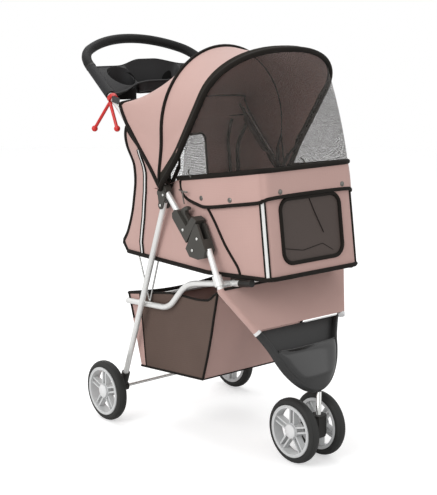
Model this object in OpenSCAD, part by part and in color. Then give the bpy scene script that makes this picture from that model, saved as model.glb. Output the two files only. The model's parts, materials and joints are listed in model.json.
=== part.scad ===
// Three-wheel folding pet stroller.
// The front faces -Y and +Z is up. The origin is on the ground, under the middle of the bounding box.
// "left" and "right" are the stroller's own sides: right is -X.
// Points of the side view are [y, z], measured back from the front axle and up from the ground.

/* [Wheels] */
// Outer diameter of all four wheels
wheel_d = 150; // [130:1:160]
// Width of each tyre
tyre_w = 27; // [22:1:29]
// Radial height of each tyre, from its seat on the rim to the tread
tyre_h = 15; // [15:1:20]
// Distance between the centre planes of the two rear tyres
rear_track = 410; // [404:1:440]
// Distance between the centre planes of the two front tyres
front_track = 82; // [76:1:96]
// Distance between the front axle and the rear axle
wheelbase = 505; // [490:1:520]
// Distance that the caster stem stands ahead of the front axle
caster_trail = 36; // [30:1:42]
// Diameter of the caster stem
stem_d = 12; // [10:0.5:14]
// Diameter of both axle rods
axle_d = 8; // [6:0.5:9]
// Number of twin spokes in each rim
spokes = 5; // [3:1:7]

/* [Frame] */
// Clearance between each seat link and the side frame's tubes
frame_gap = 17; // [12:1:29]
// Outer diameter of the frame tubes
tube_d = 14; // [12:0.5:15]
// How far the lower end of each rear leg stands outside its seat link
leg_out = 2; // [0:0.5:8]
// Distance between the two seat links
link_w = 304; // [298:1:306]
// Lean of the front legs, in millimetres back for each millimetre up
front_lean = 0.5; // [0.45:0.01:0.55]
// Thickness of the metal bracket plates
plate_t = 2.5; // [1.5:0.25:3]

/* [Handle] */
// Slope of the handle tubes
handle_rise = 44.3; // [42:0.1:46]
// Length of a handle tube from the lock pivot to its upper bend
handle_len = 412; // [390:1:440]
// Slope of the tray and the grip loop
grip_slope = 35; // [30:1:40]
// Length of the straight arm above the upper bend
arm_len = 164; // [160:1:180]
// Width of the grip loop, between tube centres
grip_w = 350; // [336:1:362]
// Radius of the two corners of the grip loop
grip_corner_r = 80; // [60:1:95]
// Radius of the bowed middle of the grip loop
grip_bow_r = 250; // [230:1:300]
// Outer diameter of the foam grip
grip_d = 24; // [20:1:30]
// Inner diameter of each cup holder
cup_d = 68; // [60:1:72]
// Wall thickness of the tray
tray_wall = 3; // [2:0.25:4]

/* [Cabin] */
// Clearance between the cabin's sides and the side frames' tubes
cabin_gap = 13; // [12:0.5:26]
// Outer width of the cabin at its front
nose_w = 266; // [240:1:280]
// Height of the cabin floor above the ground, at the rear
floor_z = 430; // [428:1:440]
// Height of the cabin's top edge above the ground, at the front
cabin_top = 667; // [650:1:680]
// Thickness of the fabric walls
fabric_t = 2; // [1.5:0.25:3]
// Thickness of the floor board
board_t = 6; // [4:0.5:10]
// Thickness of the floor cushion
mat_t = 24; // [16:1:34]
// Width of the mesh window in the cabin front
window_w = 178; // [150:1:190]
// Height of the mesh window in the cabin front
window_h = 140; // [110:1:146]
// Width of the mesh window in the cabin rear
back_window_w = 118; // [90:1:150]
// Height of the mesh window in the cabin rear
back_window_h = 128; // [90:1:140]

/* [Canopy] */
// How far the canopy bows stand outside the centre planes of the side frames
bow_out = 1; // [0:0.5:4]
// Diameter of the canopy bows
bow_d = 6; // [4:0.5:6]
// How far the middle bow's crown stands above the front bow's crown
bow_mid_rise = 1.45; // [-8:0.05:12]
// Length of the front bow, from its pivot to its crown
bow_front_h = 388; // [370:1:400]
// Direction of the front bow in the side view, turned up from straight back
bow_front_a = 123.5; // [118:0.5:126]

/* [Basket] */
// How much narrower the basket is at its bottom than at its top
basket_taper = 17.2; // [9:0.2:40]
// Height of the basket's bottom above the ground, at the rear
basket_z = 141; // [130:1:160]

/* [Front foot] */
// Width of the front foot at its top
foot_w = 256; // [236:1:266]
// Length of the front foot, down its slope
foot_len = 158; // [150:1:164]
// Slope of the front foot
foot_slope = 63; // [60:1:66]
// Depth of the front foot's shell
foot_t = 20; // [18:1:24]

/* [Hidden] */

$fn = 48;
run = 0.05;      // radial clearance of a pin that turns in a bore
seat = 0.1;      // clearance of a part that is pushed onto another
soft = 0.4;      // clearance between cloth and what it lies beside
inside = 0.03;   // how far a swept end lies inside the round tube that it continues
tube_sides = 16;

left = 1;
right = -1;
wheel_r = wheel_d / 2;
tube_r = tube_d / 2;
axle_r = axle_d / 2;
stem_r = stem_d / 2;
frame_w = link_w + 2 * (tube_d + frame_gap);
leg_foot_w = link_w + 2 * leg_out;
side_x = frame_w / 2;
cabin_w = frame_w - tube_d - 2 * cabin_gap;
axle_z = wheel_r;

// Pivots of the folding frame
lock_p = [169, 482];
link_p = [92, 415];
brace_p = [290, 567];
cross_p = [404, 309];
canopy_p = [295, 595];
lock_pin_r = 3;
brace_pin_r = 3;
link_pin_r = 4;

// Front leg: a straight tube from the lock to a bend, then in to the mouth of the foot
leg_bend = [85, 401];
foot_mouth = [26, 310];
function leg_y(z) = leg_bend[0] + front_lean * (z - leg_bend[1]);
leg_top_z = 489;
mouth_x = foot_w / 2;

// Handle: a straight tube from the lock to a bend, then the loop in the grip plane
handle_u = [cos(handle_rise), sin(handle_rise)];
handle_n = [-sin(handle_rise), cos(handle_rise)];
handle_off = 6.2;
handle_foot = lock_p + handle_off * handle_n;
function on_handle(s, off = 0) = handle_foot + s * handle_u + off * handle_n;
knee = on_handle(handle_len);
grip_u = [cos(grip_slope), sin(grip_slope)];
grip_n = [-sin(grip_slope), cos(grip_slope)];
function on_grip(s, off = 0) = knee + s * grip_u + off * grip_n;
function grip_point(x, s) = [x, on_grip(s)[0], on_grip(s)[1]];
grip_x = grip_w / 2;
corner_x = grip_x - grip_corner_r;
bow_off = sqrt(pow(grip_bow_r - grip_corner_r, 2) - pow(corner_x, 2));
bow_s = arm_len - bow_off;
corner_a = atan2(bow_off, corner_x);
foam_s = arm_len - 4;
crown = on_grip(bow_s + grip_bow_r);
function arm_x(s) = side_x + (grip_x - side_x) * s / arm_len;

// Middle of the bounding box, front to back
mid_y = (crown[0] + grip_d / 2 - wheel_r) / 2;

// ---- Helpers ----

function unit(v) = v / norm(v);
function lerp(a, b, t) = a + (b - a) * t;
function at_x(x, p) = [x, p[0], p[1]];
function quad(a, b, c, d) = [[a, b, c], [a, c, d]];
function flat(lists) = [for (part = lists) for (item = part) item];

// Arc that rounds the corner p between a and b, starting and ending cut away from it
function bend(a, p, b, cut, steps = 8) =
    let (start = p + cut * unit(a - p), end = p + cut * unit(b - p))
    [for (i = [0 : steps]) let (t = i / steps) lerp(lerp(start, p, t), lerp(p, end, t), t)];

// Moves the model so that its box is centred on the origin
module stand() translate([0, -mid_y, 0]) children();

// A side-view shape of thickness t, with its inner face at x on the side that side names
module in_side(side, x, t) {
    translate([side > 0 ? x : -x - t, 0, 0]) rotate([90, 0, 90]) linear_extrude(t) children();
}

// A bar with round ends between two side-view points
module bar(p, q, r) {
    translate(p) circle(r);
    translate(q) circle(r);
    translate(p) rotate(atan2(q[1] - p[1], q[0] - p[0])) translate([0, -r]) square([norm(q - p), 2 * r]);
}

// A round rod between two points
module rod(p, q, r) {
    v = q - p;
    translate(p) rotate([0, acos(v[2] / norm(v)), atan2(v[1], v[0])]) cylinder(h = norm(v), r = r);
}

// A pin along X, from x to x + len on one side, through a side-view point
module pin(side, p, x, len, r) {
    translate([side > 0 ? x : -x - len, p[0], p[1]]) rotate([0, 90, 0]) cylinder(h = len, r = r);
}

// A round bar swept along a path, whose tangent is never parallel to ref
module sweep(path, r, ref, sides = tube_sides, closed = false) {
    n = len(path);
    rings = [for (i = [0 : n - 1])
        let (ahead = path[closed ? (i + 1) % n : min(i + 1, n - 1)],
            behind = path[closed ? (i + n - 1) % n : max(i - 1, 0)],
            t = unit(ahead - behind), u = unit(cross(ref, t)), w = cross(t, u))
        [for (k = [0 : sides - 1]) path[i] + r * (cos(360 * k / sides) * u + sin(360 * k / sides) * w)]];
    last = closed ? n - 1 : n - 2;
    walls = [for (i = [0 : last]) for (k = [0 : sides - 1])
        let (j = (i + 1) % n, m = (k + 1) % sides)
        quad(i * sides + k, j * sides + k, j * sides + m, i * sides + m)];
    caps = closed ? [] : [[for (k = [0 : sides - 1]) k], [for (k = [sides - 1 : -1 : 0]) (n - 1) * sides + k]];
    polyhedron(flat(rings), concat(flat(walls), caps), convexity = 10);
}

// A sheet between two grids of points, given row by row
module sheet(outer, inner) {
    rows = len(outer);
    cols = len(outer[0]);
    all = rows * cols;
    function id(i, j) = i * cols + j;
    top = [for (i = [0 : rows - 2]) for (j = [0 : cols - 2])
        quad(id(i, j), id(i, j + 1), id(i + 1, j + 1), id(i + 1, j))];
    under = [for (i = [0 : rows - 2]) for (j = [0 : cols - 2])
        quad(all + id(i, j), all + id(i + 1, j), all + id(i + 1, j + 1), all + id(i, j + 1))];
    ends = [for (i = [0 : rows - 2]) concat(
        quad(id(i, 0), id(i + 1, 0), all + id(i + 1, 0), all + id(i, 0)),
        quad(id(i, cols - 1), all + id(i, cols - 1), all + id(i + 1, cols - 1), id(i + 1, cols - 1)))];
    sides = [for (j = [0 : cols - 2]) concat(
        quad(id(0, j), all + id(0, j), all + id(0, j + 1), id(0, j + 1)),
        quad(id(rows - 1, j), id(rows - 1, j + 1), all + id(rows - 1, j + 1), all + id(rows - 1, j)))];
    polyhedron(concat(flat(outer), flat(inner)),
        concat(flat(top), flat(under), flat(ends), flat(sides)), convexity = 10);
}

// A solid between a lower and an upper ring of points, both listed anticlockwise from above,
// whose first point is the mirror of its second
module loft(lower, upper) {
    n = len(lower);
    walls = [for (k = [0 : n - 1]) let (m = (k + 1) % n) quad(k, n + k, n + m, m)];
    across = [for (k = [0 : n / 2 - 2]) [(n - k) % n, k + 1, k + 2, n - 1 - k]];
    caps = [for (q = across) each [q, [n + q[3], n + q[2], n + q[1], n + q[0]]]];
    polyhedron(concat(lower, upper), concat(flat(walls), caps), convexity = 10);
}

// ---- Wheels ----

hub_r = 17;
hub_in = tyre_w / 2 + 1.5;
hub_out = 12;
rim_out = tyre_w / 2 + 0.2;
rim_seat = wheel_r - tyre_h;
rim_wall = 7;

// Lays a wheel part out with its axis along X and its outboard face away from the middle
module wheel_at(side, track, y) {
    stand() translate([side * track / 2, y, axle_z]) rotate([0, side * 90, 0]) children();
}

module tyre() {
    color("dimgray") rotate_extrude($fn = 96) {
        translate([rim_seat, -tyre_w / 2]) square([tyre_h - tyre_w / 2 + 0.01, tyre_w]);
        intersection() {
            translate([wheel_r - tyre_w / 2, 0]) circle(tyre_w / 2);
            translate([wheel_r - tyre_w / 2, -tyre_w / 2]) square([tyre_w / 2, tyre_w]);
        }
    }
}

module rim() {
    color("gainsboro") difference() {
        union() {
            rotate_extrude($fn = 96) translate([rim_seat - rim_wall, -tyre_w / 2 + 1])
                square([rim_wall - run, tyre_w / 2 - 1 + rim_out]);
            translate([0, 0, -hub_in]) cylinder(h = hub_in + hub_out, r = hub_r);
            for (i = [0 : spokes - 1]) rotate(i * 360 / spokes) for (k = [-1, 1])
                translate([hub_r - 2, k * 6 - 2, -7]) cube([rim_seat - rim_wall - hub_r + 4, 4, 15]);
        }
        translate([0, 0, -hub_in - 1]) cylinder(h = hub_in + hub_out + 2, r = axle_r + run);
    }
}

module cap() {
    color("silver") intersection() {
        translate([0, 0, hub_out + seat]) cylinder(h = 6, r = hub_r - 1);
        translate([0, 0, hub_out - 28]) sphere(33.5, $fn = 96);
    }
}

module front_tyre_left() wheel_at(left, front_track, 0) tyre();
module front_rim_left() wheel_at(left, front_track, 0) rim();
module front_cap_left() wheel_at(left, front_track, 0) cap();
module front_tyre_right() wheel_at(right, front_track, 0) tyre();
module front_rim_right() wheel_at(right, front_track, 0) rim();
module front_cap_right() wheel_at(right, front_track, 0) cap();
module rear_tyre_left() wheel_at(left, rear_track, wheelbase) tyre();
module rear_rim_left() wheel_at(left, rear_track, wheelbase) rim();
module rear_cap_left() wheel_at(left, rear_track, wheelbase) cap();
module rear_tyre_right() wheel_at(right, rear_track, wheelbase) tyre();
module rear_rim_right() wheel_at(right, rear_track, wheelbase) rim();
module rear_cap_right() wheel_at(right, rear_track, wheelbase) cap();

// ---- Caster ----

housing_w = 24;
housing_top = axle_z + 39;
stem_in = axle_z - 6;
bush_r = stem_r + 7;
bush_top = foot_mouth[1] - 124;

module front_axle() {
    color("silver") stand() translate([-front_track / 2 - hub_out + 0.5, 0, axle_z]) rotate([0, 90, 0])
        cylinder(h = front_track + 2 * hub_out - 1, r = axle_r);
}

module caster_stem() {
    color("silver") stand() translate([0, -caster_trail, stem_in]) cylinder(h = bush_top - 1 - stem_in, r = stem_r);
}

module caster_housing() {
    boss = front_track / 2 - hub_in - 0.5;
    color("#2c2c2c") stand() difference() {
        union() {
            in_side(left, -housing_w / 2, housing_w) {
                bar([-caster_trail, axle_z - 4], [-caster_trail, housing_top - 15], 14);
                translate([-caster_trail - 14, housing_top - 16]) square([28, 16]);
                bar([-caster_trail, axle_z - 4], [0, axle_z], 13);
            }
            translate([-boss, 0, axle_z]) rotate([0, 90, 0]) cylinder(h = 2 * boss, r = axle_r + 5);
            translate([0, -caster_trail, housing_top - 6]) cylinder(h = 6, r = 17);
        }
        translate([0, -caster_trail, stem_in - seat]) cylinder(h = housing_top - stem_in + 1, r = stem_r + run);
        translate([-boss - 1, 0, axle_z]) rotate([0, 90, 0]) cylinder(h = 2 * boss + 2, r = axle_r + run);
    }
}

// ---- Front frame ----

module front_leg(side) {
    bend_p = at_x(side * side_x, leg_bend);
    top_p = at_x(side * side_x, [leg_y(leg_top_z), leg_top_z]);
    mouth = at_x(side * mouth_x, foot_mouth);
    round_off = bend(top_p, bend_p, mouth, 6, 4);
    color("whitesmoke") stand() {
        rod(round_off[0], top_p, tube_r);
        sweep(concat([lerp(round_off[0], top_p, 0.04)], round_off, [mouth]), tube_r - inside, [1, 0, 0]);
    }
}

module front_leg_left() front_leg(left);
module front_leg_right() front_leg(right);

// Places a shape in the plane of the front foot: y runs down the slope, z runs back from its face
module foot_plane() {
    stand() translate([0, foot_mouth[0], foot_mouth[1]]) rotate([180 + foot_slope, 0, 0]) children();
}

function foot_half(v) = foot_w / 2 * sqrt(max(0, 1 - pow(v / foot_len, 1.35)));

module foot_outline(inset, from, steps = 18) {
    stop = foot_len - inset;
    rows = [for (i = [0 : steps]) lerp(from, stop, sin(90 * i / steps))];
    polygon(concat([for (v = rows) [max(foot_half(v) - inset, 0.01), v]],
        [for (i = [steps : -1 : 0]) [-max(foot_half(rows[i]) - inset, 0.01), rows[i]]]));
}

rim_w = 7;
foot_back = 4;
pouch_v = 50;

module front_foot() {
    color("#444440") difference() {
        union() {
            foot_plane() difference() {
                linear_extrude(foot_t) foot_outline(0, 0);
                translate([0, 0, -1]) linear_extrude(foot_t - foot_back + 1) foot_outline(rim_w, -1);
            }
            for (side = [left, right]) stand() rod(at_x(side * mouth_x, foot_mouth),
                lerp(at_x(side * mouth_x, foot_mouth), at_x(side * side_x, leg_bend), 0.24), tube_r + 4);
            stand() translate([0, -caster_trail, bush_top - 24]) cylinder(h = 26, r = bush_r);
        }
        for (side = [left, right]) stand() rod(at_x(side * mouth_x, foot_mouth),
            at_x(side * side_x, leg_bend), tube_r + seat);
        stand() translate([0, -caster_trail, bush_top - 26]) cylinder(h = 26, r = stem_r + run);
    }
}

module foot_pouch() {
    color("#383838") difference() {
        foot_plane() translate([0, 0, -7]) difference() {
            linear_extrude(foot_t - foot_back + 7 - seat) foot_outline(rim_w + seat, pouch_v);
            translate([0, 0, 2.5]) linear_extrude(foot_t - foot_back + 2) foot_outline(rim_w + 3, pouch_v - 1);
        }
        stand() translate([0, -caster_trail, bush_top - 30]) cylinder(h = 34, r = bush_r + seat);
    }
}

module front_panel() {
    slope = unit(at_x(0, foot_mouth) - at_x(0, leg_bend));
    face = cross([1, 0, 0], slope);
    function corner(x, p, drop) = at_x(x, p) + drop * slope;
    top_x = side_x - tube_r - soft - 4;
    low_x = mouth_x - tube_r - soft - 8;
    outer = [[corner(-top_x, leg_bend, 2), corner(top_x, leg_bend, 2)],
        [corner(-low_x, foot_mouth, -soft), corner(low_x, foot_mouth, -soft)]];
    inner = [for (row = outer) [for (p = row) p + fabric_t * face]];
    color("#c4a39c") stand() sheet(inner, outer);
}

// Lock: the lower half holds the leg and the pivot, the upper half holds the handle tube
lock_t = tube_d + 14;
cheek_t = 6.5;
lock_x = side_x - lock_t / 2;
tongue_r = 9;
seam_a = 124;
seam_gap = 27;
function from_lock(a, r) = lock_p + r * [cos(a), sin(a)];

module lock_lower_outline() {
    polygon([[124, 488], [153, 542], [161, 544], from_lock(0, 25), [190, 478], [180, 466], [150, 464], [130, 470]]);
}

// Half plane that lies further than d from the lock pivot, on the handle's side
module past_seam(d) {
    translate(lock_p) rotate(seam_a - 90) translate([d, -150]) square([300, 300]);
}

module lock_lower(side) {
    leg_end = at_x(side * side_x, [leg_y(leg_top_z + 1), leg_top_z + 1]);
    leg_low = at_x(side * side_x, [leg_y(440), 440]);
    color("#3c3c3a") stand() {
        difference() {
            in_side(side, lock_x, lock_t) difference() {
                lock_lower_outline();
                past_seam(seam_gap - 0.6);
            }
            in_side(side, lock_x + cheek_t, lock_t - 2 * cheek_t) past_seam(-tongue_r - 1.5);
            rod(leg_low, leg_end, tube_r + seat);
        }
        pin(side, lock_p, lock_x - 1.5, lock_t + 3, lock_pin_r);
    }
}

module lock_lower_left() lock_lower(left);
module lock_lower_right() lock_lower(right);

module link_bracket(side) {
    low = at_x(side * side_x, [leg_y(413), 413]);
    high = at_x(side * side_x, [leg_y(434), 434]);
    color("#2c2c2c") stand() {
        difference() {
            union() {
                rod(low, high, tube_r + 3.5);
                pin(side, link_p, link_w / 2 + tube_r + 0.5, side_x - link_w / 2 - tube_r - 0.5, 7);
            }
            rod(at_x(side * side_x, [leg_y(402), 402]), high + [0, 1, 2], tube_r + seat);
        }
        pin(side, link_p, link_w / 2 - tube_r - 2, side_x - link_w / 2 - 1, link_pin_r);
        pin(side, link_p, link_w / 2 - tube_r - 4, 3, link_pin_r + 2.5);
    }
}

module link_bracket_left() link_bracket(left);
module link_bracket_right() link_bracket(right);

// ---- Handle frame ----

handle_end_s = 39;

module handle_tube(side) {
    knee_in = at_x(side * side_x, on_handle(handle_len - 14));
    knee_p = at_x(side * side_x, knee);
    arm_end = grip_point(side * arm_x(foam_s), foam_s);
    color("whitesmoke") stand() {
        rod(at_x(side * side_x, on_handle(handle_end_s)), knee_in, tube_r);
        sweep(concat([at_x(side * side_x, on_handle(handle_len - 17))], bend(knee_in, knee_p, arm_end, 14, 5), [arm_end]),
            tube_r - inside, [1, 0, 0]);
    }
}

module handle_tube_left() handle_tube(left);
module handle_tube_right() handle_tube(right);

// Path of the grip loop, from the right arm over the crown to the left arm
half_loop = concat([grip_point(arm_x(foam_s), foam_s)],
    [for (a = [0 : corner_a / 8 : corner_a]) grip_point(corner_x + grip_corner_r * cos(a),
        arm_len + grip_corner_r * sin(a))],
    [for (i = [1 : 8]) let (a = corner_a + (90 - corner_a) * i / 8)
        grip_point(grip_bow_r * cos(a), bow_s + grip_bow_r * sin(a))]);
loop_path = concat([for (p = half_loop) [-p[0], p[1], p[2]]], [for (i = [len(half_loop) - 2 : -1 : 0]) half_loop[i]]);
grip_axis = [0, grip_n[0], grip_n[1]];

module handle_bar() color("whitesmoke") stand() sweep(loop_path, tube_r, grip_axis);

module handle_grip() {
    color("#202020") stand() difference() {
        sweep(loop_path, grip_d / 2, grip_axis);
        sweep(concat([loop_path[0] - 2 * [0, grip_u[0], grip_u[1]]], loop_path,
            [loop_path[len(loop_path) - 1] - 2 * [0, grip_u[0], grip_u[1]]]), tube_r + seat, grip_axis);
    }
}

// Tray: a shelf in the grip plane with a sleeve on each arm, two upright cup holders and a bin
tray_low = 53;
tray_high = foam_s - 4;
cup_x = 112;
cup_s = 118;
cup_floor = on_grip(cup_s)[1] - 52;
cup_r = cup_d / 2;

module grip_plane() {
    stand() translate([0, knee[0], knee[1]]) rotate([grip_slope, 0, 0]) children();
}

module tray_outline(inset) {
    side_e = arm_x(tray_low) - tube_r - inset;
    right_edge = [[side_e, tray_low + inset], [side_e, tray_high - inset], [110, tray_high - inset],
        [72, tray_high + 18 - inset], [0, tray_high + 28 - inset]];
    front_edge = [[145, 65 + inset], [93, 89 + inset], [60, 101 + inset]];
    polygon(concat(right_edge, [for (i = [3 : -1 : 0]) [-right_edge[i][0], right_edge[i][1]]],
        [for (p = front_edge) [-p[0], p[1]]], [for (i = [2 : -1 : 0]) front_edge[i]]));
}

module tray() {
    color("#2f2f30") difference() {
        union() {
            grip_plane() translate([0, 0, -16]) linear_extrude(20) tray_outline(0);
            for (side = [left, right]) {
                stand() rod(grip_point(side * arm_x(tray_low), tray_low),
                    grip_point(side * arm_x(tray_high), tray_high), tube_r + 4.5);
                stand() translate([side * cup_x, on_grip(cup_s)[0], cup_floor])
                    cylinder(h = 46, r = cup_r + tray_wall);
            }
        }
        grip_plane() translate([0, 0, -16 + tray_wall]) linear_extrude(30) intersection() {
            tray_outline(tray_wall + 2);
            translate([-70, 0]) square([140, 400]);
        }
        for (side = [left, right]) {
            stand() rod(grip_point(side * arm_x(tray_low - 20), tray_low - 20),
                grip_point(side * arm_x(tray_high + 20), tray_high + 20), tube_r + seat);
            stand() translate([side * cup_x, on_grip(cup_s)[0], cup_floor + tray_wall])
                cylinder(h = 90, r = cup_r);
        }
    }
}

module lock_upper(side) {
    tube_low = at_x(side * side_x, on_handle(handle_end_s - 1));
    tube_high = at_x(side * side_x, on_handle(150));
    color("#3c3c3a") stand() difference() {
        union() {
            in_side(side, lock_x, lock_t) intersection() {
                union() {
                    polygon([on_handle(10, -13), on_handle(96, -12), on_handle(104, -5), on_handle(104, 7),
                        on_handle(96, 13), on_handle(52, 14), [172, 557], [150, 548], [150, 520]]);
                }
                past_seam(seam_gap);
            }
            in_side(side, lock_x + cheek_t + 0.5, lock_t - 2 * cheek_t - 1) bar(lock_p, on_handle(32, -4), tongue_r);
        }
        rod(tube_low, tube_high, tube_r + seat);
        pin(side, lock_p, lock_x, lock_t, lock_pin_r + run);
    }
}

module lock_upper_left() lock_upper(left);
module lock_upper_right() lock_upper(right);

// Finger latch that slides up the handle tube
module lock_latch(side) {
    color("#2c2c2c") stand() in_side(side, side_x - 6, 12) polygon([on_handle(56, 14.5), on_handle(92, 13.6),
        on_handle(96, 20), on_handle(92, 34), on_handle(84, 40), on_handle(80, 36), on_handle(84, 28),
        on_handle(78, 22), on_handle(60, 21)]);
}

module lock_latch_left() lock_latch(left);
module lock_latch_right() lock_latch(right);

// Bracket plates that carry the rear leg under the handle tube, with the canopy's pivot pin
brace_top = [281, 594];
plate_gap = tube_r + 1;
ear_t = 3;
ear_gap = 0.5;
ear_mid_x = side_x - plate_gap - plate_t - ear_gap - ear_t;
ear_front_x = ear_mid_x - ear_gap - ear_t;

module leg_bracket(side) {
    tube_a = at_x(side * side_x, on_handle(60));
    tube_b = at_x(side * side_x, on_handle(240));
    color("#3c3c3a") stand() {
        for (x = [side_x - plate_gap - plate_t, side_x + plate_gap]) in_side(side, x, plate_t) {
            bar(brace_top, brace_p, 9);
            bar(canopy_p, brace_p, 6);
            translate(canopy_p) circle(8);
        }
        difference() {
            in_side(side, side_x - plate_gap - 0.5, 2 * plate_gap + 1) translate(on_handle(166)) circle(12);
            rod(tube_a, tube_b, tube_r + seat);
        }
        pin(side, brace_p, side_x - plate_gap - plate_t - 1.2, 2 * (plate_gap + plate_t + 1.2), brace_pin_r);
        pin(side, canopy_p, ear_front_x - 1, side_x - plate_gap - plate_t - ear_front_x + 2, 3);
    }
}

module leg_bracket_left() leg_bracket(left);
module leg_bracket_right() leg_bracket(right);

// Red release lever: a ring on the right handle tube with two legs that end in balls
lever_s = 40;

module release_lever() {
    at_ring = grip_point(-arm_x(lever_s), lever_s);
    tube_dir = unit(grip_point(-arm_x(100), 100) - grip_point(-arm_x(0), 0));
    hang = at_ring - [tube_r + 2, 2, tube_r + 1];
    balls = [at_ring + [-14, 58, -75], at_ring + [-14, -37, -68]];
    color("#c81e1e") stand() {
        difference() {
            rod(at_ring - 5 * tube_dir, at_ring + 5 * tube_dir, tube_r + 5.5);
            rod(at_ring - 9 * tube_dir, at_ring + 9 * tube_dir, tube_r + run);
        }
        sweep(concat([balls[0]], bend(balls[0], hang, balls[1], 6, 4), [balls[1]]), 4, [1, 0, 0], 12);
        for (ball = balls) translate(ball) sphere(7.5);
    }
}

// ---- Canopy ----

bow_r = bow_d / 2;
bow_x = side_x + bow_out;
bow_mid_h = bow_front_h * sin(bow_front_a) + bow_mid_rise;
flare_start = 82;
flare_end = 112;

// Height above the pivot line where a bow starts to close, and how square its top is
mid_shoulder = bow_mid_h - bow_x;
front_shoulder = 260;

// Point of a bow: s runs from 0 at the right ear to 1 at the left ear, in the bow's own plane
function bow_xy(s, height, shoulder, ear_x, power) =
    let (u = 2 * abs(s - 0.5), side = s < 0.5 ? -1 : 1, k = 0.42)
    u > k
        ? let (up = shoulder * (1 - (u - k) / (1 - k)))
            [side * (up < flare_start ? ear_x : up > flare_end ? bow_x
                : lerp(ear_x, bow_x, (up - flare_start) / (flare_end - flare_start))), up]
        : let (a = 90 * u / k)
            [side * bow_x * pow(sin(a), 2 / power), shoulder + (height - shoulder) * pow(cos(a), 2 / power)];
function bow_point(q, dir) = [q[0], canopy_p[0] + q[1] * cos(dir), canopy_p[1] + q[1] * sin(dir)];
function middle_bow(s) = bow_point(bow_xy(s, bow_mid_h, mid_shoulder, ear_mid_x + ear_t / 2, 2), 90);
function front_bow(s) = bow_point(bow_xy(s, bow_front_h, front_shoulder, ear_front_x + ear_t / 2, 2.3),
    bow_front_a);

module bow(path, ear_x, dir) {
    tip = canopy_p + 74 * [cos(dir), sin(dir)];
    difference() {
        union() {
            for (side = [left, right]) in_side(side, ear_x, ear_t) bar(canopy_p, tip, 5);
            sweep(path, bow_r, [0, sin(dir), -cos(dir)], 8);
        }
        for (side = [left, right]) pin(side, canopy_p, ear_x - 1, ear_t + 2, 3 + run);
    }
}

function above(fn_path, low) = [for (p = fn_path) if (norm([p[1], p[2]] - canopy_p) > low) p];

module bow_middle() {
    color("#1f1f1f") stand()
        bow(above([for (i = [0 : bow_steps]) middle_bow(i / bow_steps)], 68), ear_mid_x, 90);
}

module bow_front() {
    color("#1f1f1f") stand()
        bow(above([for (i = [0 : bow_steps]) front_bow(i / bow_steps)], 68), ear_front_x, bow_front_a);
}

// Share of the line from p to q, whose start lies on the curve line, that stays a gap clear of the curve
function clear_of(line, j, q, gap) =
    let (run_j = unit(line[min(j + 1, len(line) - 1)] - line[max(j - 1, 0)]), v = q - line[j])
    gap / norm(v) / max(norm(cross(run_j, unit(v))), 0.2);

// Cloth between two curves, each a list of points, that stays a gap clear of each of them
module cloth(first, second, gap_a, gap_b, rows = 3) {
    outer = [for (i = [0 : rows]) [for (j = [0 : len(first) - 1])
        lerp(first[j], second[j], lerp(clear_of(first, j, second[j], gap_a),
            1 - clear_of(second, j, first[j], gap_b), i / rows))]];
    inner = [for (row = outer) [for (p = row) p - 1.5 * unit([p[0], 0, max(p[2] - 700, 1)])]];
    sheet(outer, inner);
}

bow_steps = 48;
cloth_s = [for (i = [8 : bow_steps - 8]) i / bow_steps];
cloth_gap = bow_r + 0.7;

// Rear edge of the canopy: up beside each handle tube, then straight across below the tray
rear_low = 232;
rear_high = 400;
rear_rise = tube_r + 9;
function rear_edge(s) =
    let (u = 2 * abs(s - 0.5), side = s < 0.5 ? -1 : 1, k = 0.3)
    u > k
        ? at_x(side * bow_x, on_handle(lerp(rear_high, rear_low, (u - k) / (0.67 - k)), rear_rise))
        : at_x(side * bow_x * pow(sin(90 * u / k), 0.7),
            on_handle(rear_high, rear_rise + 16 * pow(cos(90 * u / k), 2)));

module canopy_front() {
    color("#c4a39c") stand() cloth([for (s = cloth_s) front_bow(s)], [for (s = cloth_s) middle_bow(s)],
        cloth_gap, cloth_gap);
}

module canopy_rear() {
    color("#c4a39c") stand() cloth([for (s = cloth_s) middle_bow(s)], [for (s = cloth_s) rear_edge(s)],
        cloth_gap, 0);
}

// ---- Seat frame ----

link_front = [21, 427];
link_upper = [248, 386];
link_lower = [317, 314];
link_rear = [484, 301];

module link_tube(side) {
    x = side * link_w / 2;
    path = concat([at_x(x, link_front)],
        bend(at_x(x, link_front), at_x(x, link_upper), at_x(x, link_lower), 34, 7),
        bend(at_x(x, link_upper), at_x(x, link_lower), at_x(x, link_rear), 28, 7),
        [at_x(x, link_rear)]);
    color("whitesmoke") stand() difference() {
        sweep(path, tube_r, [1, 0, 0]);
        pin(side, link_p, link_w / 2 - 20, 40, link_pin_r + run);
    }
}

module link_tube_left() link_tube(left);
module link_tube_right() link_tube(right);

// Height of the cabin's underside at a distance y from the front axle
function floor_under(y) = floor_z + nose_rise * max(0, nose_y - y) / (nose_y - cabin_front_y);
bar_r = tube_r - 2;

module link_crossbar() {
    span = link_w - 2 * tube_r - 2 * seat;
    front_y = link_front[0] + 10;
    color("whitesmoke") stand() for (p = [[front_y, floor_under(front_y) - soft - bar_r], link_rear + [-4, 0.3]])
        translate([-span / 2, p[0], p[1]]) rotate([0, 90, 0]) cylinder(h = span, r = bar_r);
}

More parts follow.
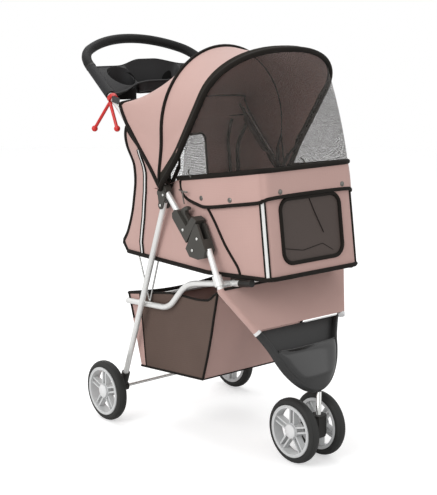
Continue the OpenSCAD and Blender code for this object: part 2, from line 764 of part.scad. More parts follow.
// Cabin: eight corners of its floor and of its top edge, anticlockwise from above
cabin_front_y = -18;
nose_y = 158;
notch_y = 288;
cabin_back_y = 470;
nose_rise = 8;
nose_top_z = cabin_top - 23;
notch_z = cabin_top - 51;
back_top = on_handle(367, -2);
top_front_y = 15;
function cabin_corners(inset) =
    let (half = cabin_w / 2 - inset, nose = nose_w / 2 - inset)
    [[[-nose, cabin_front_y + inset, floor_z + nose_rise], [-nose + 2, top_front_y + inset, cabin_top]],
     [[nose, cabin_front_y + inset, floor_z + nose_rise], [nose - 2, top_front_y + inset, cabin_top]],
     [[half, nose_y, floor_z], [half, nose_y, nose_top_z]],
     [[half, notch_y, floor_z], [half, notch_y, notch_z]],
     [[half, cabin_back_y - inset, floor_z], [half, back_top[0] - inset, back_top[1]]],
     [[-half, cabin_back_y - inset, floor_z], [-half, back_top[0] - inset, back_top[1]]],
     [[-half, notch_y, floor_z], [-half, notch_y, notch_z]],
     [[-half, nose_y, floor_z], [-half, nose_y, nose_top_z]]];
// Ring that lies rise above the cabin's floor
function cabin_ring(inset, rise) = [for (c = cabin_corners(inset)) lerp(c[0], c[1], rise / (c[1][2] - c[0][2]))];
// Ring that lies drop below the cabin's top edge
function cabin_top_ring(inset, drop) = [for (c = cabin_corners(inset)) lerp(c[1], c[0], drop / (c[1][2] - c[0][2]))];

window_tilt = atan2(top_front_y - cabin_front_y, cabin_top - floor_z - nose_rise);
window_rise = 99;
back_tilt = atan2(cabin_back_y - back_top[0], back_top[1] - floor_z);
back_rise = 212;

module window_outline(width, height, grow) {
    w = width / 2 + grow;
    h = height / 2 + grow;
    r = 26 + grow;
    for (x = [-1, 1]) for (y = [-1, 1]) translate([x * (w - r), y * (h - r)]) circle(r);
    square([2 * w, 2 * (h - r)], center = true);
    square([2 * (w - r), 2 * h], center = true);
}

module cabin_shell() {
    color("#c4a39c") stand() difference() {
        loft(cabin_ring(0, 0), cabin_top_ring(0, rim_drop));
        loft(cabin_ring(fabric_t, fabric_t), cabin_top_ring(fabric_t, -5));
        translate([0, cabin_front_y, floor_z + nose_rise]) rotate([90 - window_tilt, 0, 0])
            translate([0, window_rise, -20]) linear_extrude(40) window_outline(window_w, window_h, 0);
        translate([0, cabin_back_y, floor_z]) rotate([90 + back_tilt, 0, 0])
            translate([0, back_rise, -20]) linear_extrude(40) window_outline(back_window_w, back_window_h, 0);
    }
}

module window_mesh() {
    color("#473a34") stand() {
        translate([0, cabin_front_y, floor_z + nose_rise]) rotate([90 - window_tilt, 0, 0])
            translate([0, window_rise, -fabric_t / 2 - 0.5]) linear_extrude(0.8)
                window_outline(window_w, window_h, -soft);
        translate([0, cabin_back_y, floor_z]) rotate([90 + back_tilt, 0, 0])
            translate([0, back_rise, fabric_t / 2 - 0.4]) linear_extrude(0.8)
                window_outline(back_window_w, back_window_h, -soft);
    }
}

module cabin_floor() {
    color("#3a3431") stand()
        loft(cabin_ring(fabric_t + soft, fabric_t + soft), cabin_ring(fabric_t + soft, fabric_t + soft + board_t));
}

module floor_mat() {
    low = fabric_t + 2 * soft + board_t;
    color("#5d4e47") stand()
        loft(cabin_ring(fabric_t + 3, low), cabin_ring(fabric_t + 3, low + mat_t));
}

// Wire that stiffens the cabin's top edge
rim_wire_r = 2.5;
rim_drop = 2 * rim_wire_r + soft;

module cabin_rim() {
    ring = cabin_top_ring(rim_wire_r, rim_wire_r);
    stops = [for (i = [6, 7, 0, 1, 2, 3]) ring[i]];
    path = concat([lerp(stops[0], stops[1], 0.03)],
        flat([for (i = [1 : 4]) bend(stops[i - 1], stops[i], stops[i + 1], 14, 4)]), [lerp(stops[5], stops[4], 0.03)]);
    color("#1f1f1f") stand() sweep(path, rim_wire_r, [0, 0, 1], 8);
}

// Mesh from the front bow down to the cabin's top edge
function mesh_low(s) =
    let (u = 2 * abs(s - 0.5), side = s < 0.5 ? -1 : 1, top = cabin_top_ring(0, -1),
        edge = [[side * (cabin_w / 2), 250, lerp(nose_top_z, notch_z, (250 - nose_y) / (notch_y - nose_y)) + 1],
            [side * top[2][0], top[2][1], top[2][2]], [side * top[1][0], top[1][1], top[1][2]]])
    u > 0.5 ? lerp(edge[1], edge[0], (u - 0.5) / 0.17)
        : u > 0.28 ? lerp(edge[2], edge[1], (u - 0.28) / 0.22)
        : lerp([0, edge[2][1], edge[2][2]], edge[2], u / 0.28);

module front_mesh() {
    color("#8a8683") stand() cloth([for (s = cloth_s) front_bow(s)], [for (s = cloth_s) mesh_low(s)],
        cloth_gap, 0.8);
}

// Wire struts that carry the cabin's rear on the links
module seat_struts() {
    wire_r = 2;
    top_z = floor_z - wire_r;
    foot_y = cross_p[0] - 12;
    foot_cut = 5;
    color("silver") stand() for (side = [left, right]) {
        x = side * link_w / 2;
        foot = [x, foot_y, lerp(link_lower[1], link_rear[1], (foot_y - link_lower[0]) / (link_rear[0] - link_lower[0]))
            + tube_r + wire_r - 0.45 * foot_cut];
        tops = [for (y = [-62, -50, 32, 44]) [x, cross_p[0] + y, top_z]];
        sweep(concat([tops[0]], bend(tops[0], tops[1], foot, 7, 3), bend(tops[1], foot, tops[2], foot_cut, 4),
            bend(foot, tops[2], tops[3], 7, 3), [tops[3]]), wire_r, [1, 0, 0], 12);
    }
}

// Basket: corners of its side view, from the top at the rear to the bottom at the rear
basket_w = link_w - tube_d - 2 * soft;
basket_floor_w = basket_w - basket_taper;
function basket_side(inset) = [[474 - inset, 318], [143, 382], [172 + inset, 270],
    [206 + inset, basket_z + 22 + inset], [448 - inset, basket_z + inset]];

module basket() {
    function half(z) = lerp(basket_floor_w, basket_w, (z - basket_z) / 200) / 2;
    function wall(side, inset) = [for (p = basket_side(inset)) at_x(side * (min(half(p[1]), basket_w / 2) - inset), p)];
    module tub(inset, lift) {
        r = [for (p = wall(right, inset)) p + (p[2] > 317 ? [0, 0, lift] : [0, 0, 0])];
        l = [for (p = wall(left, inset)) p + (p[2] > 317 ? [0, 0, lift] : [0, 0, 0])];
        polyhedron(concat(r, l), concat([[0, 1, 2], [0, 2, 4], [2, 3, 4], [5, 7, 6], [5, 9, 7], [7, 9, 8]],
            flat([for (i = [0 : 4]) let (j = (i + 1) % 5) quad(i, 5 + i, 5 + j, j)])));
    }
    color("#5d4e47") stand() difference() {
        tub(0, 0);
        tub(fabric_t, 4);
    }
}

// ---- Rear frame ----

leg_foot = [wheelbase, axle_z + 10];
function rear_leg_at(side, z) = lerp(at_x(side * leg_foot_w / 2, leg_foot), at_x(side * side_x, brace_p),
    (z - leg_foot[1]) / (brace_p[1] - leg_foot[1]));

module rear_leg(side) {
    color("whitesmoke") stand() difference() {
        rod(rear_leg_at(side, leg_foot[1]), rear_leg_at(side, brace_p[1] + 8), tube_r);
        pin(side, brace_p, side_x - 20, 40, brace_pin_r + run);
    }
}

module rear_leg_left() rear_leg(left);
module rear_leg_right() rear_leg(right);

module rear_axle() {
    half = rear_track / 2 + hub_out - 0.5;
    color("silver") stand() translate([-half, wheelbase, axle_z]) rotate([0, 90, 0]) cylinder(h = 2 * half, r = axle_r);
}

pedal_p = [wheelbase + 20, axle_z + 14];
pedal_w = 16;

module axle_bracket(side) {
    foot = rear_leg_at(side, leg_foot[1]);
    up = rear_leg_at(side, leg_foot[1] + 30);
    inner = leg_foot_w / 2 - 10;
    outer = rear_track / 2 - hub_in - 0.5;
    color("#262626") stand() difference() {
        union() {
            rod(foot - (up - foot) * 0.3, up, tube_r + 3.5);
            pin(side, [wheelbase, axle_z], inner, outer - inner, 11);
            in_side(side, inner + 2, 8) bar([wheelbase, axle_z], pedal_p, 7);
        }
        rod(foot, up + (up - foot), tube_r + seat);
        pin(side, [wheelbase, axle_z], inner - 12, outer - inner + 13, axle_r + run);
        pin(side, pedal_p, inner - 1, 20, 2.5);
    }
}

module axle_bracket_left() axle_bracket(left);
module axle_bracket_right() axle_bracket(right);

module brake_pedal(side) {
    inner = leg_foot_w / 2 + 2 + run;
    color("#b02020") stand() {
        in_side(side, inner + 0.3, pedal_w) bar(pedal_p, pedal_p + [34, 8], 6);
        pin(side, pedal_p, inner - 9, 12, 2.5 - run);
    }
}

module brake_pedal_left() brake_pedal(left);
module brake_pedal_right() brake_pedal(right);

handle_tube_left();
handle_tube_right();
handle_bar();
handle_grip();
tray();
lock_upper_left();
lock_upper_right();
leg_bracket_left();
leg_bracket_right();
canopy_rear();
lock_latch_left();
lock_latch_right();
release_lever();
bow_middle();
canopy_front();
bow_front();
front_leg_left();
front_leg_right();
front_foot();
foot_pouch();
front_panel();
lock_lower_left();
lock_lower_right();
link_bracket_left();
link_bracket_right();
caster_stem();
caster_housing();
front_axle();
front_tyre_left();
front_rim_left();
front_cap_left();
front_tyre_right();
front_rim_right();
front_cap_right();
link_tube_left();
link_tube_right();
link_crossbar();
seat_struts();
cabin_shell();
window_mesh();
cabin_floor();
floor_mat();
cabin_rim();
front_mesh();
basket();
rear_leg_left();
rear_leg_right();
axle_bracket_left();
axle_bracket_right();
rear_axle();
brake_pedal_left();
brake_pedal_right();
rear_tyre_left();
rear_rim_left();
rear_cap_left();
rear_tyre_right();
rear_rim_right();
rear_cap_right();
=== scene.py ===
import math
import bpy
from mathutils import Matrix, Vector
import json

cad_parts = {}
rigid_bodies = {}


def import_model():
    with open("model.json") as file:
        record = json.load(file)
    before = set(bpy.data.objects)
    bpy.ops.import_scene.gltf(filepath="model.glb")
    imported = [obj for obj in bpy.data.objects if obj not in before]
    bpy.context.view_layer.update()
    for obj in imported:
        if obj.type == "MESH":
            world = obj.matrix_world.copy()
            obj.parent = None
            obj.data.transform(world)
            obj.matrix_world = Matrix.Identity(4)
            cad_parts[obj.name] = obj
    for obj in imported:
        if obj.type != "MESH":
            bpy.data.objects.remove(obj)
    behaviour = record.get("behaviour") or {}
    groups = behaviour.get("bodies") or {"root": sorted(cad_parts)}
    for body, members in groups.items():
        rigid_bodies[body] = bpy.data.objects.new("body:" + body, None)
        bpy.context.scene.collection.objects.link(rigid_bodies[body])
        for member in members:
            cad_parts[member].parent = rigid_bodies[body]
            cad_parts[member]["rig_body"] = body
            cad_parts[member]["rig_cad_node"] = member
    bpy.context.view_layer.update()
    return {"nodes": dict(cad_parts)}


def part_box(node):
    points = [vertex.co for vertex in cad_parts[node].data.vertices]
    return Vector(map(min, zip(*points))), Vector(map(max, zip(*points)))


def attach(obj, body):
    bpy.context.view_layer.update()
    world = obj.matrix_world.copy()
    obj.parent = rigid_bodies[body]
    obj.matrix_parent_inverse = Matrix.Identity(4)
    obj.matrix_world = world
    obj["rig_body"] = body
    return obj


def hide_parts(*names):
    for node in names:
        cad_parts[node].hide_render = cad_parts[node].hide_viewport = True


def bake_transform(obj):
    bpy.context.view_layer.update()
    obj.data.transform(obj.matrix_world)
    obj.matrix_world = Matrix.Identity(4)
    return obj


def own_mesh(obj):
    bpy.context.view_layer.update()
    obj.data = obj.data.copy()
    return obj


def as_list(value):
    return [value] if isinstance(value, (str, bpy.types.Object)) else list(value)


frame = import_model()
nodes = frame["nodes"]
print("frame loaded,", len(nodes), "nodes")

# Places are in millimetres: x to the left, y back from the front axle, z up from the ground
axleLow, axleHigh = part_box("front_axle")
axleY = (axleLow.y + axleHigh.y) / 2
left, right = 1, -1
bothSides = (left, right)
sideNames = (("Left", left), ("Right", right))

def at(x, y, z):
    return Vector((x / 1000, axleY + y / 1000, z / 1000))

def between(a, b, t):
    return a + (b - a) * t

def along(a, b, t):
    return tuple(between(p, q, t) for p, q in zip(a, b))

def evenly(low, high, count):
    return [between(low, high, i / count) for i in range(count + 1)]

def clamp(value, low=0, high=1):
    return min(max(value, low), high)

def ease(t):
    t = clamp(t)
    return t * t * (3 - 2 * t)

def hump(t):
    # nothing at both ends, 1 in the middle
    return math.sin(math.pi * t)

def direction(angle):
    return math.cos(math.radians(angle)), math.sin(math.radians(angle))

def nearest(items, share):
    # the item that lies at this share of the list
    return items[int(round(share * (len(items) - 1)))]

def mirrored(side, stops):
    return [(side * x, y, z) for x, y, z in stops]

def fromMiddle(s):
    # how far from the middle, 0 to 1, and on which side
    return 2 * abs(s - 0.5), right if s < 0.5 else left

def follow(stops, value):
    # stops are (key, number) pairs; the number runs evenly from stop to stop
    for (k0, n0), (k1, n1) in zip(stops, stops[1:]):
        if value <= k1:
            return between(n0, n1, clamp((value - k0) / (k1 - k0)))
    return stops[-1][1]

def rounded(stops, steps):
    # a smooth line through the stops
    line = []
    for i in range(len(stops) - 1):
        near = [stops[clamp(i + k, 0, len(stops) - 1)] for k in (-1, 0, 1, 2)]
        for step in range(steps):
            t = step / steps
            line.append(tuple(0.5 * (2 * b + (c - a) * t + (2 * a - 5 * b + 4 * c - d) * t * t
                                     + (3 * b - a - 3 * c + d) * t ** 3) for a, b, c, d in zip(*near)))
    return line + [tuple(stops[-1])]

def deselect():
    if bpy.context.object and bpy.context.object.mode != "OBJECT":
        bpy.ops.object.mode_set(mode="OBJECT")
    bpy.ops.object.select_all(action="DESELECT")

def activate(piece):
    deselect()
    piece.select_set(True)
    bpy.context.view_layer.objects.active = piece

def named(name):
    piece = bpy.context.object
    piece.name = piece.data.name = name
    return piece

def modify(piece, kind, **settings):
    activate(piece)
    bpy.ops.object.modifier_add(type=kind)
    modifier = piece.modifiers[-1]
    for key, value in settings.items():
        setattr(modifier, key, value)
    bpy.ops.object.modifier_apply(modifier=modifier.name)
    return piece

def smooth(piece, angle):
    activate(piece)
    bpy.ops.object.shade_smooth_by_angle(angle=math.radians(angle))
    return piece

def edited(piece, *steps):
    # the steps are taken in edit mode, with the whole piece selected
    activate(piece)
    bpy.ops.object.mode_set(mode="EDIT")
    bpy.ops.mesh.select_all(action="SELECT")
    for step in steps:
        step()
    bpy.ops.object.mode_set(mode="OBJECT")
    return piece

def merge(distance=0.00002):
    return lambda: bpy.ops.mesh.remove_doubles(threshold=distance)

def faceOut():
    bpy.ops.mesh.normals_make_consistent(inside=False)

def tidy(piece, distance=0.00002):
    return edited(piece, merge(distance), faceOut)

def closeEdges(close):
    # open edges are closed, then all faces are turned outwards
    def step():
        bpy.ops.mesh.select_all(action="DESELECT")
        bpy.ops.mesh.select_non_manifold()
        close()
        bpy.ops.mesh.select_all(action="SELECT")
        faceOut()
    return step

def joined(name, pieces):
    deselect()
    for piece in pieces:
        piece.select_set(True)
    bpy.context.view_layer.objects.active = pieces[0]
    bpy.ops.object.join()
    return named(name)

# Cloth cut as a grid and laid by lay(u, v); size is the cut in metres, so the weave keeps its scale
def clothGrid(name, cols, rows, lay, size=(0.4, 0.3)):
    deselect()
    bpy.ops.mesh.primitive_grid_add(x_subdivisions=cols, y_subdivisions=rows, size=1)
    piece = named(name)
    for vertex in piece.data.vertices:
        vertex.co = lay(clamp(vertex.co.x + 0.5), clamp(vertex.co.y + 0.5))
    for loop in piece.data.uv_layers.active.data:
        loop.uv = (loop.uv[0] * size[0], loop.uv[1] * size[1])
    return piece

def thick(piece, amount, offset=0, inner=0):
    return modify(piece, "SOLIDIFY", thickness=amount / 1000, offset=offset, material_offset=inner,
                  material_offset_rim=inner, use_even_offset=True)

def clothPiece(name, cols, rows, lay, size, amount, offset=0, inner=0, angle=50):
    return smooth(thick(clothGrid(name, cols, rows, lay, size), amount, offset, inner), angle)

# A cord of piping along a line of millimetre points
def piping(name, line, radius, closed=False, sides=3):
    curve = bpy.data.curves.new(name, "CURVE")
    curve.dimensions = "3D"
    curve.bevel_depth = radius / 1000
    curve.bevel_resolution = sides
    curve.use_fill_caps = True
    spline = curve.splines.new("POLY")
    spline.points.add(len(line) - 1)
    for point, stop in zip(spline.points, line):
        point.co = (*at(*stop), 1)
    spline.use_cyclic_u = closed
    piece = bpy.data.objects.new(name, curve)
    bpy.context.scene.collection.objects.link(piece)
    activate(piece)
    bpy.ops.object.convert(target="MESH")
    return smooth(tidy(named(name)), 50)

# A flat band of tape: the line lies on the cloth, sides point across the band, outs away from the cloth
def band(name, line, sides, outs, width, height=0.8):
    spots = list(zip(line, sides, outs))
    def lay(u, v):
        stop, side, out = nearest(spots, v)
        across = (u - 0.5) * width / 1000
        return at(*stop) + Vector(side) * across + Vector(out) * 0.0004
    return thick(clothGrid(name, 4, len(line) - 1, lay, (width / 1000, 0.3)), height, 1)

# A moulded part: a merged copy of its CAD node with rounded edges
def moulded(node, name, edge):
    piece = nodes[node].copy()
    piece.data = nodes[node].data.copy()
    piece.parent = None
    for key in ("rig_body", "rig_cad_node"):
        if key in piece:
            del piece[key]
    bpy.context.scene.collection.objects.link(piece)
    piece.name = piece.data.name = name
    piece.hide_render = piece.hide_viewport = False
    edited(piece, merge(), lambda: bpy.ops.mesh.dissolve_limited(angle_limit=math.radians(0.6)))
    if edge:
        modify(piece, "BEVEL", width=edge / 1000, segments=2, limit_method="ANGLE",
               angle_limit=math.radians(35), use_clamp_overlap=True)
    smooth(piece, 40)
    return modify(piece, "WEIGHTED_NORMAL", keep_sharp=True)

def rivet(name, place, axis, radius, height=1.4):
    deselect()
    bpy.ops.mesh.primitive_uv_sphere_add(segments=20, ring_count=10, radius=radius / 1000)
    piece = named(name)
    turn = Vector((0, 0, 1)).rotation_difference(Vector(axis)).to_matrix()
    for vertex in piece.data.vertices:
        point = vertex.co.copy()
        point.z = max(point.z, 0) * height / radius
        vertex.co = turn @ point + at(*place)
    return smooth(tidy(piece), 60)

def finished(piece, material, slotName, body=None, stands=(), fold=None):
    piece.data.materials.clear()
    for each in (material if isinstance(material, list) else [material]):
        piece.data.materials.append(each)
    if body:
        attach(piece, body)
    if fold:
        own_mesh(piece)
    if stands:
        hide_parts(*stands)
    return piece

def dress(pieces, *finish):
    for piece in pieces:
        finished(piece, *finish)

class Flow:
    # a socket that takes part in sums: every operator adds its Math node
    def __init__(self, finish, socket):
        self.finish = finish
        self.socket = socket

    def combine(self, operation, first, second):
        return self.finish.node("ShaderNodeMath", {"operation": operation}, {0: first, 1: second})

    def __add__(self, other):
        return self.combine("ADD", self, other)

    def __sub__(self, other):
        return self.combine("SUBTRACT", self, other)

    def __rsub__(self, other):
        return self.combine("SUBTRACT", other, self)

    def __mul__(self, other):
        return self.combine("MULTIPLY", self, other)

    __radd__ = __add__
    __rmul__ = __mul__

class Finish:
    def __init__(self, name, roughness=0.5, metallic=0.0, **constants):
        self.material = bpy.data.materials.new(name)
        self.material.use_nodes = True
        self.tree = self.material.node_tree
        self.shader = self.tree.nodes["Principled BSDF"]
        for key, value in {"Roughness": roughness, "Metallic": metallic, **constants}.items():
            self.shader.inputs[key].default_value = value

    def node(self, kind, settings=None, values=None, output=0):
        made = self.tree.nodes.new(kind)
        for key, value in (settings or {}).items():
            setattr(made, key, value)
        for key, value in (values or {}).items():
            if isinstance(value, Flow):
                self.tree.links.new(value.socket, made.inputs[key])
            else:
                made.inputs[key].default_value = value
        return Flow(self, made.outputs[output])

    def place(self, kind="Object"):
        return self.node("ShaderNodeTexCoord", output=kind)

    def noise(self, where, scale, detail=3.0, rough=0.5):
        values = {"Vector": where, "Scale": scale, "Detail": detail, "Roughness": rough}
        return self.node("ShaderNodeTexNoise", None, values, "Fac")

    def wave(self, where, scale, bands):
        settings = {"bands_direction": bands, "wave_profile": "SIN"}
        return self.node("ShaderNodeTexWave", settings, {"Vector": where, "Scale": scale}, "Fac")

    def mix(self, amount, first, second):
        return self.node("ShaderNodeMix", {"data_type": "RGBA"}, {0: amount, 6: first, 7: second}, 2)

    def bump(self, height, strength, distance, **under):
        values = {"Height": height, "Strength": strength, "Distance": distance, **under}
        return self.node("ShaderNodeBump", None, values)

    def feed(self, key, value):
        self.tree.links.new(value.socket, self.shader.inputs[key])

def linear(c):
    return c / 12.92 if c <= 0.04045 else ((c + 0.055) / 1.055) ** 2.4

def rgba(colour, factor=1):
    # a colour as it is seen on screen, made linear for the shader
    return tuple(linear(clamp(c * factor, 0, 255) / 255) for c in colour) + (1.0,)

clothLook = {"pink": (194, 161, 153), "pinkShade": (184, 151, 144), "lining": (92, 79, 71),
             "liningDark": (76, 63, 57), "thread": 0.0011, "crease": 0.5, "sheen": 0.25}

# Woven polyester: fine over-and-under threads, soft creases and slow tone changes
def wovenCloth(name, light, dark, thread=clothLook["thread"], kind="UV", crease=clothLook["crease"],
               sheen=clothLook["sheen"]):
    f = Finish(name, 0.82, **{"Sheen Weight": sheen, "Sheen Roughness": 0.45, "Specular IOR Level": 0.25})
    where = f.place(kind)
    solid = f.place()
    turns = 1 / thread / 10
    warp, weft = f.wave(where, turns, "X"), f.wave(where, turns, "Y")
    weave = (warp * weft) * 0.6 + (warp + weft) * 0.2
    slub = f.noise(where, 900, 2)
    tone = f.noise(solid, 7, 3)
    fold = f.noise(solid, 11, 2, 0.45)
    amount = tone * 0.75 + weave * 0.12 + slub * 0.18 - 0.02
    f.feed("Base Color", f.mix(amount, rgba(dark), rgba(light)))
    f.feed("Roughness", slub * 0.12 + 0.76)
    fine = f.bump(weave + slub * 0.5, 0.35, 0.0004)
    f.feed("Normal", f.bump(fold, crease, 0.006, Normal=fine))
    return f.material

# Net: holes between threads, so that what lies behind it shows
def net(name, light, dark, cell, openShare, speckle=0.5):
    f = Finish(name, 0.7, **{"Sheen Weight": 0.1})
    where = f.place("UV")
    turns = 1 / cell / 10 * 2
    warp, weft = f.wave(where, turns, "X"), f.wave(where, turns, "Y")
    grain = f.noise(where, 420, 2, 0.6)
    holes = (warp * weft) * (1 - speckle) + grain * speckle
    limits = {"Value": holes, "From Min": openShare - 0.07, "From Max": openShare + 0.07}
    f.feed("Base Color", f.mix(grain, rgba(dark), rgba(light)))
    f.feed("Alpha", f.node("ShaderNodeMapRange", None, limits))
    f.feed("Roughness", grain * 0.2 + 0.6)
    return f.material

def tape(name, light, dark, rib=0.0016, roughness=0.75):
    f = Finish(name, roughness, **{"Sheen Weight": 0.03, "Specular IOR Level": 0.15})
    where = f.place()
    ribs = f.noise(where, 1 / rib, 1, 0.3)
    tone = f.noise(where, 35, 2)
    f.feed("Base Color", f.mix(tone * 0.7 + ribs * 0.3, rgba(dark), rgba(light)))
    f.feed("Roughness", ribs * 0.2 + (roughness - 0.1))
    f.feed("Normal", f.bump(ribs, 0.3, 0.0004))
    return f.material

# Moulded plastic: fine grain, a little handling wear in the gloss
def plastic(name, colour, roughness=0.45, grain=0.25, spread=0.12, coat=0.0, gloss=0.3):
    f = Finish(name, roughness, **{"Coat Roughness": 0.15, "Specular IOR Level": gloss, "Coat Weight": coat})
    where = f.place()
    texture = f.noise(where, 1400, 2)
    wear = f.noise(where, 18, 4, 0.6)
    f.feed("Base Color", f.mix(wear, rgba(colour, 1 - spread), rgba(colour, 1 + spread)))
    f.feed("Roughness", wear * 0.16 + (roughness - 0.08))
    f.feed("Normal", f.bump(texture, grain, 0.0002))
    return f.material

# Brushed metal: fine scratches in the gloss, slow patches in the tone
def metal(name, colour, roughness=0.3, metallic=1.0, scratch=0.15, coat=0.0, spread=0.06):
    f = Finish(name, roughness, metallic, **{"Coat Roughness": 0.1, "Coat Weight": coat})
    where = f.place()
    fine = f.noise(where, 260, 4, 0.65)
    patch = f.noise(where, 14, 2)
    f.feed("Base Color", f.mix(patch, rgba(colour, 1 - spread), rgba(colour, 1 + spread)))
    f.feed("Roughness", fine * scratch + (roughness - scratch / 2))
    f.feed("Normal", f.bump(fine, 0.08, 0.0002))
    return f.material

def foamRubber(name, colour):
    f = Finish(name, 0.62, **{"Specular IOR Level": 0.2})
    where = f.place()
    cells = f.node("ShaderNodeTexVoronoi", {"feature": "F1"}, {"Vector": where, "Scale": 900.0}, "Distance")
    patch = f.noise(where, 22, 3)
    f.feed("Base Color", f.mix(patch, rgba(colour, 0.85), rgba(colour, 1.15)))
    f.feed("Roughness", patch * 0.15 + 0.52)
    f.feed("Normal", f.bump(cells, 0.35, 0.0005))
    return f.material

pinkCloth = wovenCloth("pinkCloth", clothLook["pink"], clothLook["pinkShade"])
liningCloth = wovenCloth("liningCloth", clothLook["lining"], clothLook["liningDark"], sheen=0.1)
linedCloth = [pinkCloth, liningCloth]
basketCloth = wovenCloth("basketCloth", (102, 84, 76), (82, 67, 60), thread=0.0016, sheen=0.05)
matCloth = wovenCloth("matCloth", (118, 100, 92), (98, 82, 75), thread=0.0014, kind="Object", crease=0.3)
domeNet = net("domeNet", (84, 78, 73), (40, 36, 33), cell=0.0026, openShare=0.5, speckle=0.8)
windowNet = net("windowNet", (74, 60, 54), (52, 42, 37), cell=0.0022, openShare=0.12)
blackTape = tape("blackTape", (30, 25, 20), (14, 11, 8))
innerTape = tape("innerTape", (46, 42, 36), (26, 22, 18))
whiteTape = tape("whiteTape", (238, 238, 236), (214, 214, 212), rib=0.0011, roughness=0.45)
greyStrap = tape("greyStrap", (72, 72, 72), (52, 52, 53), rib=0.002)
darkPlastic = plastic("darkPlastic", (46, 46, 46), roughness=0.48)
trayPlastic = plastic("trayPlastic", (36, 36, 37), roughness=0.55, grain=0.3, gloss=0.2)
# near-black plastic for the tray's outside below the lip: painted shade
trayUnder = plastic("trayUnder", (9, 9, 9), roughness=0.7, gloss=0.1)
lockPlastic = plastic("lockPlastic", (64, 62, 58), roughness=0.42)
glossPlastic = plastic("glossPlastic", (30, 30, 30), roughness=0.24, grain=0.03, coat=0.35, gloss=0.4)
redPlastic = plastic("redPlastic", (196, 28, 22), roughness=0.3, grain=0.05, spread=0.08, gloss=0.5)
blackPlastic = plastic("blackPlastic", (30, 28, 26), roughness=0.4)
tubeMetal = metal("tubeMetal", (226, 226, 224), roughness=0.32, metallic=0.35, coat=0.3)
steelMetal = metal("steelMetal", (196, 196, 194), roughness=0.25, scratch=0.2)
rivetMetal = metal("rivetMetal", (214, 214, 210), roughness=0.28)
snapMetal = metal("snapMetal", (104, 102, 98), roughness=0.38, spread=0.2)
rimPlastic = plastic("rimPlastic", (205, 206, 206), roughness=0.33, grain=0.06, spread=0.03, coat=0.3)
capPlastic = plastic("capPlastic", (224, 224, 224), roughness=0.28, grain=0.04, spread=0.02, coat=0.4)
gripFoam = foamRubber("gripFoam", (13, 13, 13))
tyreRubber = foamRubber("tyreRubber", (48, 48, 47))
print("materials made")

# The frame's lines, the same as the solids follow: lock to grip along the handle tube
frameLines = {"lock": (169, 482), "lift": 6.2, "slope": 44.3, "handle": 412, "gripSlope": 35, "arm": 164,
              "sideX": 183, "gripX": 175, "cornerR": 80, "bowR": 250}
handleRun, gripRun = direction(frameLines["slope"]), direction(frameLines["gripSlope"])

def onHandle(s, off=0):
    (c, d), (y, z), lift = handleRun, frameLines["lock"], frameLines["lift"] + off
    return y + s * c - lift * d, z + s * d + lift * c

knee = onHandle(frameLines["handle"])

def onGrip(s, off=0):
    c, d = gripRun
    return knee[0] + s * c - off * d, knee[1] + s * d + off * c

def armX(s):
    return between(frameLines["sideX"], frameLines["gripX"], s / frameLines["arm"])

# Canopy bows: crown is the share of a bow that its arch takes, angle the slope of its plane
bows = {"pivot": (295, 595), "tip": (287, 603), "skirt": 195.5, "width": 184, "crown": 0.42,
        "middle": {"height": 325, "shoulder": 141, "power": 2.0, "angle": 90},
        "front": {"height": 388, "shoulder": 260, "power": 2.3, "angle": 123.5}}

def bowStop(s, which, grow=0):
    bow = bows[which]
    (c, d), (pivotY, pivotZ), (tipY, tipZ) = direction(bow["angle"]), bows["pivot"], bows["tip"]
    wide = bows["width"] + grow
    u, side = fromMiddle(s)
    if u > bows["crown"]:
        up = bow["shoulder"] * (1 - (u - bows["crown"]) / (1 - bows["crown"]))
        x = between(bows["skirt"], wide, ease((up - 10) / 110))
        low = 1 - ease(up / 60)
        y, z = pivotY + up * c, pivotZ + up * d
        return side * x, between(y, tipY, low * 0.6), between(z, max(z, tipZ), low)
    across, rise = (share ** (2 / bow["power"]) for share in reversed(direction(90 * u / bows["crown"])))
    up = bow["shoulder"] + (bow["height"] + grow - bow["shoulder"]) * rise
    return side * wide * across, pivotY + up * c, pivotZ + up * d

# Rear edge of the canopy: up the outside of each handle tube, then across below the tray
rearEdge = {"across": 0.36, "half": 192.5, "lift": 18.7, "crown": 20, "low": 168, "corner": 411,
            "middle": 406, "off": [(0, 18.7), (0.08, 12), (0.2, 6), (0.5, 3), (1, 0)]}

def rearStop(s):
    u, side = fromMiddle(s)
    if u > rearEdge["across"]:
        t = (u - rearEdge["across"]) / (1 - rearEdge["across"])
        x = between(rearEdge["half"], bows["skirt"], ease((t - 0.7) / 0.3))
        up = between(rearEdge["corner"], rearEdge["low"], t)
        return side * x, *onHandle(up, follow(rearEdge["off"], t))
    a = u / rearEdge["across"]
    lift = rearEdge["lift"] + rearEdge["crown"] * (1 - a * a) ** 0.8
    x = rearEdge["half"] * math.sin(math.radians(90 * a)) ** 0.72
    return side * x, *onHandle(between(rearEdge["middle"], rearEdge["corner"], a ** 4), lift)

canopy = {"frontSag": 9, "rearSag": 7, "cloth": 1.6, "end": 0.008, "piping": 4.0, "frontBinding": 6.3,
          "rearPiping": 4.4, "hem": 3.0, "lining": 21}

def canopySheet(name, first, second, sag, size):
    def lay(u, v):
        x, y, z = along(first(u), second(u), v)
        dip = sag * 4 * v * (1 - v) * hump(u) ** 0.7
        toMiddle = Vector((x, 0, max(z - 700, 1))).normalized()
        crease = 1.2 * math.sin(u * 57 + v * 5) * math.sin(u * 23) * v * (1 - v) * 4
        return at(x, y, z) - toMiddle * (dip + crease * 0.5) / 1000
    return clothPiece(name, 96, 14, lay, size, canopy["cloth"], -1, 1, 60)

def bowEdge(which):
    return lambda u: bowStop(between(canopy["end"], 1 - canopy["end"], u), which)

canopyFront = canopySheet("canopyFrontCloth", bowEdge("front"), bowEdge("middle"), canopy["frontSag"],
                          (1.0, 0.22))
canopyRear = canopySheet("canopyRearCloth", bowEdge("middle"), rearStop, canopy["rearSag"], (1.0, 0.25))

